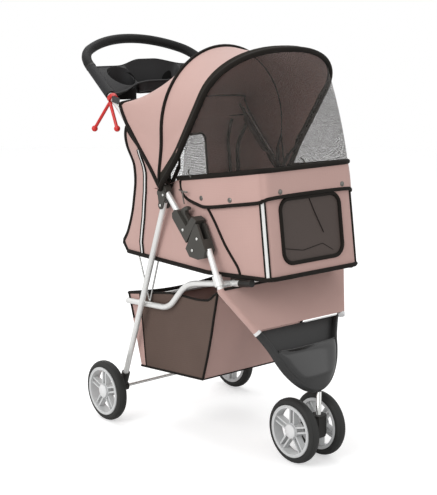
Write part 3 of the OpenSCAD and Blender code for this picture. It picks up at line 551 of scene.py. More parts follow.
# A lining band and a hem inside each handle tube
innerHem = [(172, 2), (186, 16), (215, 12), (270, 8), (330, 9), (396, 9), (415, 5)]

def liningStrip(side):
    stops = [(side * 174.6, *onHandle(s, 1)) for s in range(170, 421, 10)]
    across, inwards = Vector((0, -handleRun[1], handleRun[0])), Vector((-side, 0, 0))
    return band("innerLining", stops, [across] * len(stops), [inwards] * len(stops), canopy["lining"])

def hemLine(side):
    stops = [(side * 172.6, *onHandle(s, off)) for s, off in innerHem]
    return piping("innerHem", rounded(stops + [(side * 150, *onHandle(424, 2))], 6), canopy["hem"])

innerStrips = [liningStrip(side) for side in bothSides]
innerLines = [hemLine(side) for side in bothSides]
print("canopy laid")

def bowLine(which, end, grow):
    return [bowStop(s, which, grow) for s in evenly(end, 1 - end, 90)]

middlePiping = piping("middlePiping", bowLine("middle", 0.01, 1.5), canopy["piping"])
frontBinding = piping("frontBinding", bowLine("front", 0.005, 0.5), canopy["frontBinding"])
rearLine = [rearStop(s) for s in evenly(0, 1, 90)]
rearPiping = piping("canopyRearPiping", [(x, y + 4 * max(0, 1 - abs(x) / 185), z) for x, y, z in rearLine],
                    canopy["rearPiping"])

# Stitched inner band of the front bow
def frontBandLay(u, v):
    x, y, z = bowStop(between(0.03, 0.97, u), "front", -4)
    c, d = direction(bows["front"]["angle"])
    back = between(1, 20, v)
    return at(x, y + back * d, z - back * c)

innerBand = thick(clothGrid("innerBand", 90, 3, frontBandLay, (1.0, 0.015)), 1.2)

# The cabin: corners go round from the front right one by the left; puff is each wall's bulge;
# a window has a width, height, corner radius and the height of its middle; rear is (z, y) down the back
cabin = {"low": [(-133, -18, 438), (133, -18, 438), (163, 158, 430), (163, 288, 430), (163, 470, 430),
                 (-163, 470, 430), (-163, 288, 430), (-163, 158, 430)],
         "high": [(-131, 15, 667), (131, 15, 667), (163, 158, 644), (163, 288, 616), (163, 429, 741),
                  (-163, 429, 741), (-163, 288, 616), (-163, 158, 644)],
         "puff": (2.0, 2.5, 3.0, 4.0, -5.0, 4.0, 3.0, 2.5), "cornerR": 14, "cloth": 2.0,
         "window": (178, 140, 26, 98), "rearWindow": (118, 128, 22, 640),
         "rear": [(430, 470), (436, 472), (451, 486), (478, 468), (525, 449), (565, 440), (604, 434),
                  (640, 437), (675, 443), (700, 440), (741, 427), (770, 412)],
         "top": [(0, 667), (1, 667), (2, 644), (2.74, 629), (3, 617), (3.25, 640), (4, 742), (5, 742),
                 (5.75, 640), (6, 617), (6.26, 629), (7, 644), (8, 667)],
         "bottom": [(0, 438), (1, 438), (2, 430), (7, 430), (8, 438)],
         "steps": (0, 0.02, 0.045, 0.08, 0.14, 0.22, 0.3, 0.4, 0.5, 0.6, 0.7, 0.78, 0.86, 0.92, 0.955, 0.98)}
rearSmooth = sorted(rounded(cabin["rear"], 6))

def rearDepth(z):
    return follow(rearSmooth, z)

def topEdge(k):
    return follow(cabin["top"], k % 8)

def lowEdge(k):
    return follow(cabin["bottom"], k % 8)

def cabinCorner(n, z):
    low, high = cabin["low"][n % 8], cabin["high"][n % 8]
    x, y, _ = along(low, high, (z - low[2]) / (high[2] - low[2]))
    flare = 0
    if n % 8 in (4, 5):
        y = rearDepth(z)
        flare = ease((z - 640) / 90) * 28
    if n % 8 in (3, 6):
        flare = ease((z - 618) / 60) * 26
    return math.copysign(abs(x) + flare, x), y

# A spot on the outer wall: k counts round the corners, z is the height, out stands off the wall
def wallStop(k, z, out=0.0):
    i = int(k % 8)
    t = k % 8 - i
    a, b = cabinCorner(i, z), cabinCorner(i + 1, z)
    length = math.hypot(b[0] - a[0], b[1] - a[1])
    x, y = along(a, b, t)
    stand = cabin["puff"][i] * hump(clamp((z - 432) / 200)) * hump(t) + out
    normal = Vector((b[1] - a[1], a[0] - b[0])) / max(length, 1)
    # near a front or rear corner the wall is drawn in, which rounds it
    for n, near in ((i, t * length), ((i + 1) % 8, (1 - t) * length)):
        if n in (0, 1, 4, 5) and near < cabin["cornerR"]:
            spot, before, after = (Vector(cabinCorner(m, z)) for m in (n, n - 1, n + 1))
            inward = (before - spot).normalized() + (after - spot).normalized()
            pull = (1 - near / cabin["cornerR"]) ** 2 * cabin["cornerR"] * 0.32
            x, y = x + inward.x * pull, y + inward.y * pull
    return x + normal.x * stand, y + normal.y * stand, z

def wallNormal(k, z):
    a, b, c, here = (Vector(wallStop(*stop)) for stop in ((k - 0.02, z), (k + 0.02, z), (k, z + 3), (k, z)))
    return (b - a).cross(c - here).normalized()

# Stations round the wall, closer together at the corners
ringStops = [i + t for i in range(8) for t in cabin["steps"]] + [8.0]

def wallLay(u, v):
    k = nearest(ringStops, u)
    return at(*wallStop(k, between(lowEdge(k), topEdge(k), v)))

cabinWalls = clothGrid("cabinWalls", len(ringStops) - 1, 26, wallLay, (1.25, 0.25))
thick(edited(cabinWalls, merge(0.00005)), cabin["cloth"], -1, 1)

(_, frontY, frontZ), (_, frontTopY, frontTopZ) = cabin["low"][0], cabin["high"][0]
frontTilt = math.atan2(frontTopY - frontY, frontTopZ - frontZ)
frontUp = Vector((0, math.sin(frontTilt), math.cos(frontTilt)))

def onFront(x, v, out=0.0):
    # v runs up the front wall from its bottom edge
    y, z = frontY + v * frontUp.y, frontZ + v * frontUp.z
    return x, y - out * frontUp.z, z + out * frontUp.y

def onRear(x, z, out=0.0):
    return x, rearDepth(z) - 5 + out, z

def roundedLoop(width, height, radius, middle):
    stops = []
    for sideX, sideV, start in ((1, 1, 0), (-1, 1, 90), (-1, -1, 180), (1, -1, 270)):
        for i in range(9):
            c, d = direction(start + 90 * i / 8)
            stops.append((sideX * (width / 2 - radius) + radius * c,
                          middle + sideV * (height / 2 - radius) + radius * d))
    return stops

def cutOut(name, loop, spot):
    # a block with the loop's outline, through the wall from outside to inside
    deselect()
    bpy.ops.mesh.primitive_circle_add(vertices=len(loop), radius=1, fill_type="NGON")
    block = named(name)
    for vertex, (x, v) in zip(block.data.vertices, loop):
        vertex.co = at(*spot(x, v, -25))
    reach = at(*spot(0, 0, 35)) - at(*spot(0, 0, -25))
    def extrude():
        bpy.ops.mesh.extrude_region_move(TRANSFORM_OT_translate={"value": reach})
        bpy.ops.mesh.select_all(action="SELECT")
    return edited(block, extrude, faceOut)

def cutBy(piece, block):
    modify(piece, "BOOLEAN", operation="DIFFERENCE", object=block, solver="EXACT")
    bpy.data.objects.remove(block)

windowLoop = roundedLoop(*cabin["window"])
rearLoop = roundedLoop(*cabin["rearWindow"])
cutBy(cabinWalls, cutOut("windowCut", windowLoop, onFront))
cutBy(cabinWalls, cutOut("rearCut", rearLoop, lambda x, z, out: (x, 440 + out, z)))
smooth(cabinWalls, 50)
print("cabin walls sewn")

# Radius of each piping and seam of the cabin
trim = {"window": 4.6, "rearWindow": 2.8, "bottom": 5.0, "top": 5.8, "tubeSeam": 2.6, "rearTop": 3.0,
        "rearSide": 5.8, "flap": 4.3, "diagonal": 2.9, "zip": 4.0, "flapCloth": 1.6}
windowPiping = piping("windowPiping", [onFront(x, v, 1.5) for x, v in windowLoop], trim["window"],
                      closed=True)
rearWindowPiping = piping("rearWindowPiping", [onRear(x, z, 1) for x, z in rearLoop], trim["rearWindow"],
                          closed=True)

def panel(name, loop, spot):
    (lowX, highX), (lowV, highV) = ((min(values), max(values)) for values in zip(*loop))
    midX, midV, halfX, halfV = (lowX + highX) / 2, (lowV + highV) / 2, (highX - lowX) / 2, (highV - lowV) / 2
    def lay(u, v):
        a, b = 2 * u - 1, 2 * v - 1
        # the square's corners are drawn in to a rounded outline
        x, y = a * math.sqrt(1 - 0.22 * b ** 4), b * math.sqrt(1 - 0.22 * a ** 4)
        return at(*spot(midX + halfX * x, midV + halfV * y, -2.2 * (1 - a * a) * (1 - b * b)))
    return clothPiece(name, 20, 16, lay, (2 * halfX / 1000, 2 * halfV / 1000), 0.8)

windowPanel = panel("windowNet", windowLoop, onFront)
rearPanel = panel("rearNet", rearLoop, onRear)
windowFolds = (("windowSeamHigh", ((-2, 166, 0.8), (14, 130, 0), (36, 84, -0.5)), 0.9),
               ("windowSeamLow", ((-84, 62, 0.8), (-30, 52, 0), (30, 60, -0.5), (60, 42, 0)), 0.7))
windowSeams = [piping(name, [onFront(*stop) for stop in stops], radius)
               for name, stops, radius in windowFolds]

def ringLine(low, high, edge, out, step=0.06):
    return [wallStop(k, edge(k), out) for k in evenly(low, high, int((high - low) / step))]

bottomPiping = piping("bottomPiping", ringLine(0, 8, lowEdge, 1.5)[:-1], trim["bottom"], closed=True)
topPiping = piping("topPiping", ringLine(6.26, 10.74, lambda k: topEdge(k) + 2, 3.6), trim["top"])
tubeSeams = [piping("tubeSeam", ringLine(a, b, topEdge, 1.5, 0.03), trim["tubeSeam"])
             for a, b in ((3.08, 4.0), (5.0, 5.92))]
rearTop = piping("rearTopPiping", ringLine(4.0, 5.0, topEdge, 4.5), trim["rearTop"])
rearSides = [piping("rearSide", [wallStop(k, z, 1.0) for z in range(432, 742, 8)], trim["rearSide"])
             for k in (4.0, 5.0)]

# Flap round the front, hanging from the top edge over the walls: (k, z) of its lower edge
flapLow = rounded([(6.32, 628), (6.36, 606), (6.5, 590), (6.78, 581), (7.02, 578), (7.5, 590), (7.94, 602),
                   (8.06, 610), (8.5, 612), (8.94, 610), (9.06, 602), (9.5, 590), (9.98, 578), (10.22, 581),
                   (10.5, 590), (10.64, 606), (10.68, 628)], 8)

def flapLay(u, v):
    k, low = nearest(flapLow, u)
    return at(*wallStop(k, between(low, topEdge(k) - 1, v), 2.6 + 1.6 * hump(v) + (1 - v) * 1.6))

flap = clothPiece("flapCloth", len(flapLow) - 1, 8, flapLay, (0.95, 0.06), trim["flapCloth"], 1, 1)
flapPiping = piping("flapPiping", [wallStop(k, z, 4.4) for k, z in flapLow], trim["flap"])

def diagonal(side):
    stops = [(7.0, 578), (7.15, 545), (7.32, 498), (7.5, 456), (7.54, 435)]
    line = rounded([(9 - k if side == left else k, z) for k, z in stops], 5)
    return piping("diagonalSeam", [wallStop(k, z, 1.2) for k, z in line], trim["diagonal"])

diagonals = [diagonal(side) for side in bothSides]

# Reflective stripes between two dark edges
stripes, stripeEdges = [], []

def stripe(name, stops, width, edge, out=1.4):
    spots = [wallStop(k, z, out) for k, z in stops]
    outs = [wallNormal(k, z) for k, z in stops]
    ends = [(spots[max(i - 1, 0)], spots[min(i + 1, len(spots) - 1)]) for i in range(len(spots))]
    runs = [(Vector(b) - Vector(a)).normalized() for a, b in ends]
    sides = [run.cross(n).normalized() for run, n in zip(runs, outs)]
    stripes.append(band(name, spots, sides, outs, width))
    for way in (-1, 1):
        line = [tuple(Vector(p) + s * width / 2 * way + n * 0.4) for p, s, n in zip(spots, sides, outs)]
        stripeEdges.append(piping(name + "Edge", line, edge))

rearStripeY = [(430, 402), (462, 404), (524, 391), (585, 386), (650, 388), (760, 388)]

def rearK(side, z):
    # station on the side wall, a fixed way ahead of the rear corner
    t = 1 - (rearDepth(z) - follow(rearStripeY, z)) / max(rearDepth(z) - 288, 1)
    return 3 + t if side == left else 6 - t

stripe("frontStripe", [(7.976, z) for z in range(441, 606, 6)], 10.5, 2.1)
stripe("farStripe", [(1.024, z) for z in range(441, 606, 6)], 10.5, 2.1)
for side in bothSides:
    stripe("rearStripe", [(rearK(side, z), z) for z in range(432, 690, 6)], 9.5, 2.2)

def gussetLay(u, v):
    # from the rear wall's top edge up to the canopy's rear edge
    x, y, z = along(wallStop(4 + u, 741, 0.5), rearStop(between(0.735, 0.265, u)), v)
    return at(x, y + 4 * hump(v), z)

gusset = clothPiece("rearGusset", 40, 8, gussetLay, (0.35, 0.06), trim["flapCloth"], 1, 1)
zipLines = [piping("rearZip", [onRear(x, z, -5) for z in range(440, 738, 8)], trim["zip"])
            for x in (-127, 127)]

def snap(place, normal):
    cap = rivet("snap", place, normal, 5.6, 2.4)
    turn = Vector((0, 0, 1)).rotation_difference(Vector(normal)).to_matrix()
    base = Vector(place) + Vector(normal) * 0.6
    line = [tuple(base + turn @ Vector((5 * c, 5 * d, 0))) for c, d in (direction(18 * i) for i in range(20))]
    return joined("snap", [cap, piping("snapRing", line, 0.9, closed=True, sides=2)])

snaps = [snap(wallStop(k, z, 5.6), wallNormal(k, z))
         for k, z in ((7.44, 600), (1.56, 600), (6.9, 596), (2.1, 596))]
snaps += [snap(onFront(x, 185, 6.2), (0, -frontUp.z, frontUp.y)) for x in (-89, 98)]
print("cabin trimmed")

# Floor cushion, puffed up by cloth pressure
cushion = {"inset": 9, "low": 8.6, "height": 27, "pressure": 4.0, "voxel": 0.007, "cap": 0.009,
           "half": 0.1585, "rows": ((0, 7, 6, 5), (1, 2, 3, 4))}

def floorCorner(n):
    x, y, _ = cabin["low"][n]
    inset = cushion["inset"]
    return x - math.copysign(inset, x), y + {0: inset, 1: inset, 4: -inset, 5: -inset}.get(n, 0)

def cushionLay(u, v):
    # u across from right to left, v from front to back
    i = min(int(v * 3), 2)
    a, b = (along(floorCorner(row[i]), floorCorner(row[i + 1]), v * 3 - i) for row in cushion["rows"])
    x, y = along(a, b, u)
    return at(x, y, follow([(-18, 438), (158, 430), (480, 430)], y) + cushion["low"])

mat = clothGrid("floorCushion", 24, 36, cushionLay, (0.32, 0.46))
tidy(thick(mat, cushion["height"], 1), 0.0002)
modify(mat, "REMESH", mode="VOXEL", voxel_size=cushion["voxel"])
before = [v.co.copy() for v in mat.data.vertices]
activate(mat)
bpy.ops.object.modifier_add(type="CLOTH")
cloth = mat.modifiers[-1]
cloth.settings.use_pressure = True
cloth.settings.uniform_pressure_force = cushion["pressure"]
cloth.settings.effector_weights.gravity = 0
for step in range(1, 16):
    bpy.context.scene.frame_set(step)
bpy.ops.object.modifier_apply(modifier=cloth.name)
bpy.context.scene.frame_set(1)
for vertex, was in zip(mat.data.vertices, before):
    move = vertex.co - was
    if move.length > cushion["cap"]:
        vertex.co = was + move.normalized() * cushion["cap"]
    vertex.co.z = max(vertex.co.z, was.z - 0.0005)
    vertex.co.x = clamp(vertex.co.x, -cushion["half"], cushion["half"])
modify(mat, "SUBSURF", levels=1, render_levels=1)
smooth(mat, 70)
print("cushion filled")

# Storage basket: corners of its side in (y, z), half widths at the top and the floor
basket = {"rearTop": (490, 318), "shoulder": (143, 382), "low": (206, 163), "heel": (450, 139),
          "top": 144.4, "floor": 136, "cloth": 1.4}

def basketHalf(z):
    return between(basket["floor"], basket["top"], clamp((z - 141) / 177))

def topDrop(u):
    # the top edge hangs slack just behind the front corner
    return 17 * ease((u - 0.45) / 0.42) * (1 - ease((u - 0.9) / 0.1))

def sideSpot(side, u, v, out=0.0):
    # u from the rear to the front, v from the bottom to the top
    top, bottom = along(basket["rearTop"], basket["shoulder"], u), along(basket["heel"], basket["low"], u)
    y, z = along(bottom, top, v)
    x = basketHalf(z) - 5 * hump(u) * hump(v) + out
    return side * x, y - 5 * hump(v) * ease((u - 0.6) / 0.4), z - topDrop(u) * v ** 4

def wrapEdge(v):
    return between(0.085, 0.14, v)

def sideSheet(name, side, low, high, cols):
    def lay(u, v):
        return at(*sideSpot(side, between(low(v), high(v), u), v, 0.6))
    return clothPiece(name, cols, 22, lay, (0.36, 0.2), basket["cloth"])

def crossSheet(name, low, high, bulge, dipTop=0):
    run = Vector((high[0] - low[0], high[1] - low[1])).normalized()
    def lay(u, v):
        y, z = along(low, high, v)
        push = bulge * hump(u) ** 0.8 * hump(v) ** 0.9 + math.sin(u * 19 + v * 4) * hump(v)
        return at(basketHalf(z) * (2 * u - 1), y + run.y * push, z - run.x * push - dipTop * hump(u) * v ** 8)
    return clothPiece(name, 36, 22, lay, (0.28, 0.2), basket["cloth"])

basketSides = [sideSheet("basketSide" + name, side, wrapEdge, lambda v: 1, 36) for name, side in sideNames]
basketWraps = [sideSheet("basketWrap", side, lambda v: 0, wrapEdge, 8) for side in bothSides]
basketRear = crossSheet("basketRear", basket["heel"], basket["rearTop"], 14, dipTop=10)
basketFront = crossSheet("basketFront", basket["shoulder"], basket["low"], 5)
basketFloor = crossSheet("basketFloor", basket["low"], basket["heel"], 4)

# Bindings of the basket: name, its line on the side from t = 0 to 1, radius
basketTrim = (("basketTopBinding", lambda t: (t, 1), 2.6), ("basketFrontEdge", lambda t: (1, 1 - t), 3.0),
              ("basketFloorEdge", lambda t: (t, 0), 2.8), ("basketWrapEdge", lambda t: (wrapEdge(t), t), 1.9))
basketHem = [(0.015 + 0.02 * (1 - v), v) for v in (1, 0.93, 0.86, 0.79, 0.72, 0.66)]
basketBinding = []
for side in bothSides:
    for name, edge, radius in basketTrim:
        line = [sideSpot(side, *edge(t), 1.4) for t in evenly(0, 1, 30)]
        basketBinding.append(piping(name, line, radius))
    basketBinding.append(piping("basketHem", [sideSpot(side, u, v, 3) for u, v in basketHem], 2.4))
(rearY, rearZ), (shoulderY, shoulderZ) = basket["rearTop"], basket["shoulder"]
slack = [(x, rearY, rearZ - 10 * math.cos(math.pi * x / 290)) for x in range(-144, 145, 8)]
basketBinding += [
    piping("basketRearBinding", slack, 4.4),
    piping("basketFrontBinding", [(x, shoulderY - 1, shoulderZ) for x in range(-144, 145, 12)], 3.4),
    piping("basketLowBinding", [(x, *basket["low"]) for x in range(-136, 137, 8)], 2.2)]
print("basket sewn")

# Apron between the front legs, from the foot's mouth to the legs' bend
apronShape = {"mouth": (128, 26, 310), "bend": (183, 85, 401), "start": 0.045, "sleeve": 8.4, "hang": 2.0,
              "cloth": 1.2, "fitting": 9.2, "topBinding": 3.0, "hem": 1.4}

def legLine(side, t, ahead=0.0):
    x, y, z = along(apronShape["mouth"], apronShape["bend"], t)
    return side * x, y - ahead * 0.84, z + ahead * 0.54

def apronLay(u, v):
    x, y, z = legLine(1, between(apronShape["start"], 1.0, v), apronShape["sleeve"])
    a = 2 * u - 1
    return at(x * a, y + apronShape["hang"] * math.cos(math.pi * a / 2) * hump(v), z)

def legSleeve(side):
    line = [legLine(side, t) for t in evenly(apronShape["start"], 1.0, 16)]
    return piping("legSleeve", line + [(side * 183, 87.5, 406)], apronShape["sleeve"], sides=6)

apron = clothPiece("apronCloth", 40, 22, apronLay, (0.32, 0.14), apronShape["cloth"])
sleeves = [legSleeve(side) for side in bothSides]
legFittings = [piping("legFitting", [legLine(side, t) for t in (-0.012, 0.05)], apronShape["fitting"],
                      sides=6) for side in bothSides]
apronTop = piping("apronTopBinding", [(x, 77.5, 408) for x in range(-180, 181, 12)], apronShape["topBinding"])
apronHem = piping("apronHem", [(x, 20.9, 315) for x in range(8, 109, 10)], apronShape["hem"])

# Front foot: side is (half width, way down) of its outline, rim the section of its wall
foot = {"length": 158, "slope": 63, "wall": 7, "stemTop": 168, "pouchTop": 50, "bulge": 13, "lip": 86,
        "side": [(123, -1), (110, 22), (98, 46), (87, 76), (73, 103), (52, 129), (28, 147), (0, 155)],
        "rim": [(0, -20), (0, -4), (0.8, -1.4), (2.6, 0), (5, 0), (6.6, -1), (7.2, -3.5), (7.2, -17),
                (5, -20)]}
footLine = rounded([(-x, v) for x, v in foot["side"]] + foot["side"][-2::-1], 6)

def onFoot(x, v, out=0.0):
    # v down the slope of the foot from its mouth, out ahead of its face
    c, d = direction(foot["slope"])
    return x, 26 - v * c - out * d, 310 - v * d + out * c

def footHalf(v):
    return follow([(v, -x) for x, v in footLine[:len(footLine) // 2 + 1]], v)

def footLay(u, v):
    i = int(round(u * (len(footLine) - 1)))
    a, b = Vector(footLine[max(i - 1, 0)]), Vector(footLine[min(i + 1, len(footLine) - 1)])
    run = (b - a).normalized()
    inset, out = foot["rim"][int(round(v * len(foot["rim"]))) % len(foot["rim"])]
    x, down = Vector(footLine[i]) + inset * Vector((run.y, -run.x))
    return at(*onFoot(x, down, out))

def footBackLay(u, v):
    down = between(-5, 149, math.sin(math.radians(90 * v)))
    return at(*onFoot((2 * u - 1) * (footHalf(max(down, 0)) - 4), down, -17))

footShell = tidy(clothGrid("frontFootShell", len(footLine) - 1, len(foot["rim"]), footLay))
footBack = thick(clothGrid("footBack", 20, 16, footBackLay), 3)
footShell = smooth(joined("frontFootShell", [footShell, footBack]), 45)

def pouchLay(u, v):
    # rows run down the pouch, columns across it, and the border turns back into the foot
    a = 2 * u - 1
    reach = foot["length"] - foot["wall"] - 0.6
    down = between(foot["pouchTop"] + 1, reach, math.sin(math.radians(90 * v)))
    half = max(footHalf(down) - foot["wall"] - 0.7, 0.5)
    crown = math.sqrt(max(0.0, 1 - abs(a) ** 2.4)) * ease((reach - down) / 40 + 0.1)
    rise = foot["bulge"] * crown * ease((down - foot["pouchTop"]) / 26 + 0.35)
    return at(*onFoot(a * half, down, rise - 3.0))

def lipSpot(x):
    bend = abs(x / foot["lip"]) ** 3
    return onFoot(x, foot["pouchTop"] + 1 - 3 * bend, 3.4 * (1 - bend) - 0.6)

pouch = thick(clothGrid("footPouchShell", 44, 30, pouchLay), 2.2, -1)
smooth(tidy(pouch, 0.00005), 50)
pouchLip = piping("footPouchLip", [lipSpot(x) for x in range(-foot["lip"], foot["lip"] + 1, 4)], 1.8)
print("foot closed")

# Tray: one smooth shell with a cup holder at each side and a deep bin between them
tray = {"half": 176, "cupX": 112, "cupY": onGrip(118)[0] - 3.5, "cupFloor": onGrip(118)[1] - 52,
        "cupFlat": 0.88, "bore": 34, "lip": 4, "binFloor": 800, "wall": 3, "sleeve": 12.2,
        "front": [(0, 95), (45, 95), (81, 88), (104, 76), (128, 63), (157, 54), (180, 52)],
        "sleeveStops": (53, 70, 90, 110, 130, 152, 158)}

def trayRear(x):
    return 157 + 24 * (1 - ease((abs(x) - 20) / 84))

def trayRing(x):
    # one slice of the shell: lip, inside, rear edge, outside, and back under the lip
    binShare = 1 - ease((abs(x) - 62) / 20)
    fy, fz = onGrip(follow(tray["front"], abs(x)), tray["lip"])
    ry, rz = onGrip(trayRear(x), tray["lip"])
    ring = [(fy, fz), (fy + 2.5, fz + 1.2)]
    for t in (0.06, 0.12, 0.25, 0.4, 0.55, 0.7, 0.8, 0.88, 0.94, 0.975):
        flat = between(fz, rz, t) + 3 * (1 - binShare) * hump(t)
        deep = max(tray["binFloor"] + 3, fz - 6 - 300 * (t - 0.06), rz - 6 - 420 * (0.975 - t))
        ring.append((between(fy, ry, t), between(flat, min(deep, flat), binShare)))
    low, lowRear = between(fz - 9, tray["binFloor"], binShare), between(rz - 9, tray["binFloor"], binShare)
    return ring + [(ry - 1.5, rz + 1.2), (ry, rz), (ry - 0.5, rz - 4),
                   (between(ry - 3, ry - 14, binShare), lowRear), (between(fy + 9, fy + 17, binShare), low),
                   (fy + 5, fz - 4.5), (fy + 1, fz - 3)]

def trayLay(u, v):
    x = between(-tray["half"], tray["half"], u)
    ring = trayRing(x)
    return at(x, *ring[int(round(v * len(ring))) % len(ring)])

def cupPiece(name, profile, lay):
    return tidy(clothGrid(name, 48, len(profile) - 1, lay, (0.2, 0.1)))

def cupHolder(shell, side):
    # the bore is cut out of the shell, then gets its wall and floor, and the handle tube its sleeve
    cupX, low, bore, outer = side * tray["cupX"], tray["cupFloor"], tray["bore"], tray["bore"] + tray["wall"]
    inner = [(0, low + 3), (bore, low + 3), (bore, low + 30), (bore + 1.5, low + 44), (bore + 4, low + 62),
             (bore + 6, low + 92), (0, low + 92)]
    wall = [(0, low), (outer, low), (outer, None), (bore + 1, None), (bore, low + 3), (0, low + 3)]
    def boreLay(u, v):
        r, z = nearest(inner, v)
        a = 2 * math.pi * u
        y = tray["cupY"] + tray["cupFlat"] * min(r, bore + 0.6) * math.sin(a)
        return at(cupX + r * math.cos(a), y, z)
    def holderLay(u, v):
        r, z = nearest(wall, v)
        a = 2 * math.pi * u
        y = tray["cupY"] + tray["cupFlat"] * r * math.sin(a)
        # the wall's top follows the slope of the tray
        return at(cupX + r * math.cos(a), y, onGrip((y - knee[0]) / gripRun[0])[1] - 2 if z is None else z)
    cutBy(shell, cupPiece("cupCutter", inner, boreLay))
    cup = cupPiece("trayCup", wall, holderLay)
    line = [(side * armX(s), *onGrip(s)) for s in tray["sleeveStops"]]
    return joined("trayShell", [shell, cup, piping("traySleeve", line, tray["sleeve"], sides=4)])

trayShell = tidy(clothGrid("trayShell", 88, len(trayRing(0)), trayLay, (0.35, 0.3)))
edited(trayShell, closeEdges(lambda: bpy.ops.mesh.fill_holes(sides=0)))
for side in bothSides:
    trayShell = cupHolder(trayShell, side)
smooth(trayShell, 50)
finished(trayShell, [trayPlastic, trayUnder], "plastic_dark", "handle_frame", ("tray",))

# The outside below the lip, with the cups' outer walls there, gets a near-black plastic: painted shade
for face in trayShell.data.polygons:
    x, y, z = face.center.x * 1000, (face.center.y - axleY) * 1000, face.center.z * 1000
    under = (z - knee[1]) * gripRun[0] - (y - knee[0]) * gripRun[1] < 0.5 and abs(x) < 165
    reach = math.hypot(abs(x) - tray["cupX"], (y - tray["cupY"]) / tray["cupFlat"])
    onCup = abs(face.normal.z) < 0.2 and tray["bore"] + 0.8 < reach < tray["bore"] + 5
    if under and (face.normal.z < -0.1 or onCup):
        face.material_index = 1
print("tray moulded")

# Moulded and metal parts, from their solids: node, width of the rounded edge, material, slot, body
mouldedParts = [
    ("release_lever", 0.6, redPlastic, "red_plastic", "release_lever"),
    ("caster_housing", 1.4, blackPlastic, "plastic_dark", "caster"),
    ("caster_stem", 0.4, steelMetal, "steel", "caster"),
    ("front_axle", 0.5, steelMetal, "steel", "caster"),
    ("rear_axle", 0.5, steelMetal, "steel", "rear_frame"),
    ("link_crossbar", 0, tubeMetal, "frame_metal", "seat_frame"),
    ("seat_struts", 0, steelMetal, "steel", "seat_frame"),
    ("bow_middle", 0, blackPlastic, "bow_black", "middle_bow"),
    ("bow_front", 0, blackPlastic, "bow_black", "front_bow")]
# These come in pairs, and a star stands for left or right
pairedParts = [
    ("lock_upper_*", 3.2, lockPlastic, "plastic_dark", "handle_frame"),
    ("lock_lower_*", 3.2, lockPlastic, "plastic_dark", "front_frame"),
    ("lock_latch_*", 1.2, lockPlastic, "plastic_dark", "lock_latch_*"),
    ("leg_bracket_*", 0.5, lockPlastic, "plastic_dark", "handle_frame"),
    ("link_bracket_*", 0.8, tubeMetal, "frame_metal", "front_frame"),
    ("axle_bracket_*", 1.0, blackPlastic, "plastic_dark", "rear_frame"),
    ("brake_pedal_*", 1.2, redPlastic, "red_plastic", "brake_pedal_*"),
    ("handle_tube_*", 0, tubeMetal, "frame_metal", "handle_frame"),
    ("front_leg_*", 0, tubeMetal, "frame_metal", "front_frame"),
    ("rear_leg_*", 0.4, tubeMetal, "frame_metal", "rear_frame"),
    ("link_tube_*", 0.3, tubeMetal, "frame_metal", "seat_frame"),
    ("front_rim_*", 0.7, rimPlastic, "rim_silver", "front_wheel_*"),
    ("front_cap_*", 0.8, capPlastic, "cap_silver", "front_wheel_*"),
    ("rear_rim_*", 0.7, rimPlastic, "rim_silver", "rear_wheel_*"),
    ("rear_cap_*", 0.8, capPlastic, "cap_silver", "rear_wheel_*")]
for sideName in ("left", "right"):
    mouldedParts += [(node.replace("*", sideName), edge, material, slotName, body.replace("*", sideName))
                     for node, edge, material, slotName, body in pairedParts]

def pieceName(node):
    first, *rest = {"bow_middle": "middle_bow", "bow_front": "front_bow"}.get(node, node).split("_")
    return first + "".join(word.title() for word in rest)

for node, edge, material, slotName, body in mouldedParts:
    piece = moulded(node, pieceName(node), edge)
    if node == "caster_stem":
        # the stem ends inside the foot
        for vertex in piece.data.vertices:
            vertex.co.z = min(vertex.co.z, foot["stemTop"] / 1000)
    finished(piece, material, slotName, body, (node,))

# Dark plugs on the front ends of the seat links
for sideName, side in sideNames:
    plug = piping("linkPlug" + sideName, mirrored(side, [(152, 19, 427.4), (152, 58, 420.3)]), 8, sides=5)
    finished(plug, blackPlastic, "plastic_dark", "seat_frame")
print("moulded parts rounded")

# Wheels: tyre is (radius, x) of half its tread, with a groove near the shoulder; a ring has its radius,
# x and thickness
wheels = {"places": {"front": (82, 0), "rear": (410, 505)}, "height": 75,
          "tyre": [(60.1, 11.5), (64, 12.6), (68, 12.2), (71.4, 10.2), (72.3, 8.6), (72.0, 8.0), (73.4, 7.2),
                   (74.6, 4)],
          "rings": {"RimRing": (57.5, 13.4, 1.3), "HubRing": (18.2, 8.5, 1.1)}}
tread = [(r, -x) for r, x in wheels["tyre"]] + [(75, 0)] + wheels["tyre"][::-1]

def tyreRing(name, centre):
    def lay(u, v):
        r, x = nearest(tread, v)
        a = 2 * math.pi * u
        return centre + Vector((x, r * math.cos(a), r * math.sin(a))) / 1000
    piece = clothGrid(name, 96, len(tread) - 1, lay, (0.47, 0.03))
    edited(piece, merge(), closeEdges(lambda: bpy.ops.mesh.bridge_edge_loops()))
    return smooth(piece, 35)

def circleLine(centre, radius, x):
    spokes = [direction(5 * i) for i in range(72)]
    return [(centre[0] + x, centre[1] + radius * c, centre[2] + radius * d) for c, d in spokes]

for end, (track, y) in wheels["places"].items():
    for sideName, side in sideNames:
        centre = (side * track / 2, y, wheels["height"])
        body, node = end + "_wheel_" + sideName.lower(), end + "_tyre_" + sideName.lower()
        finished(tyreRing(end + "Tyre" + sideName, at(*centre)), tyreRubber, "tyre", body, (node,))
        for ringName, (radius, x, thickness) in wheels["rings"].items():
            line = circleLine(centre, radius, side * x)
            ring = piping(end + ringName + sideName, line, thickness, closed=True, sides=2)
            finished(ring, rimPlastic, "rim_silver", body)
print("wheels dressed")

# Foam grip over the bowed bar
grip = {"foam": 12, "end": 12.6, "endFrom": 158, "endTo": 163}

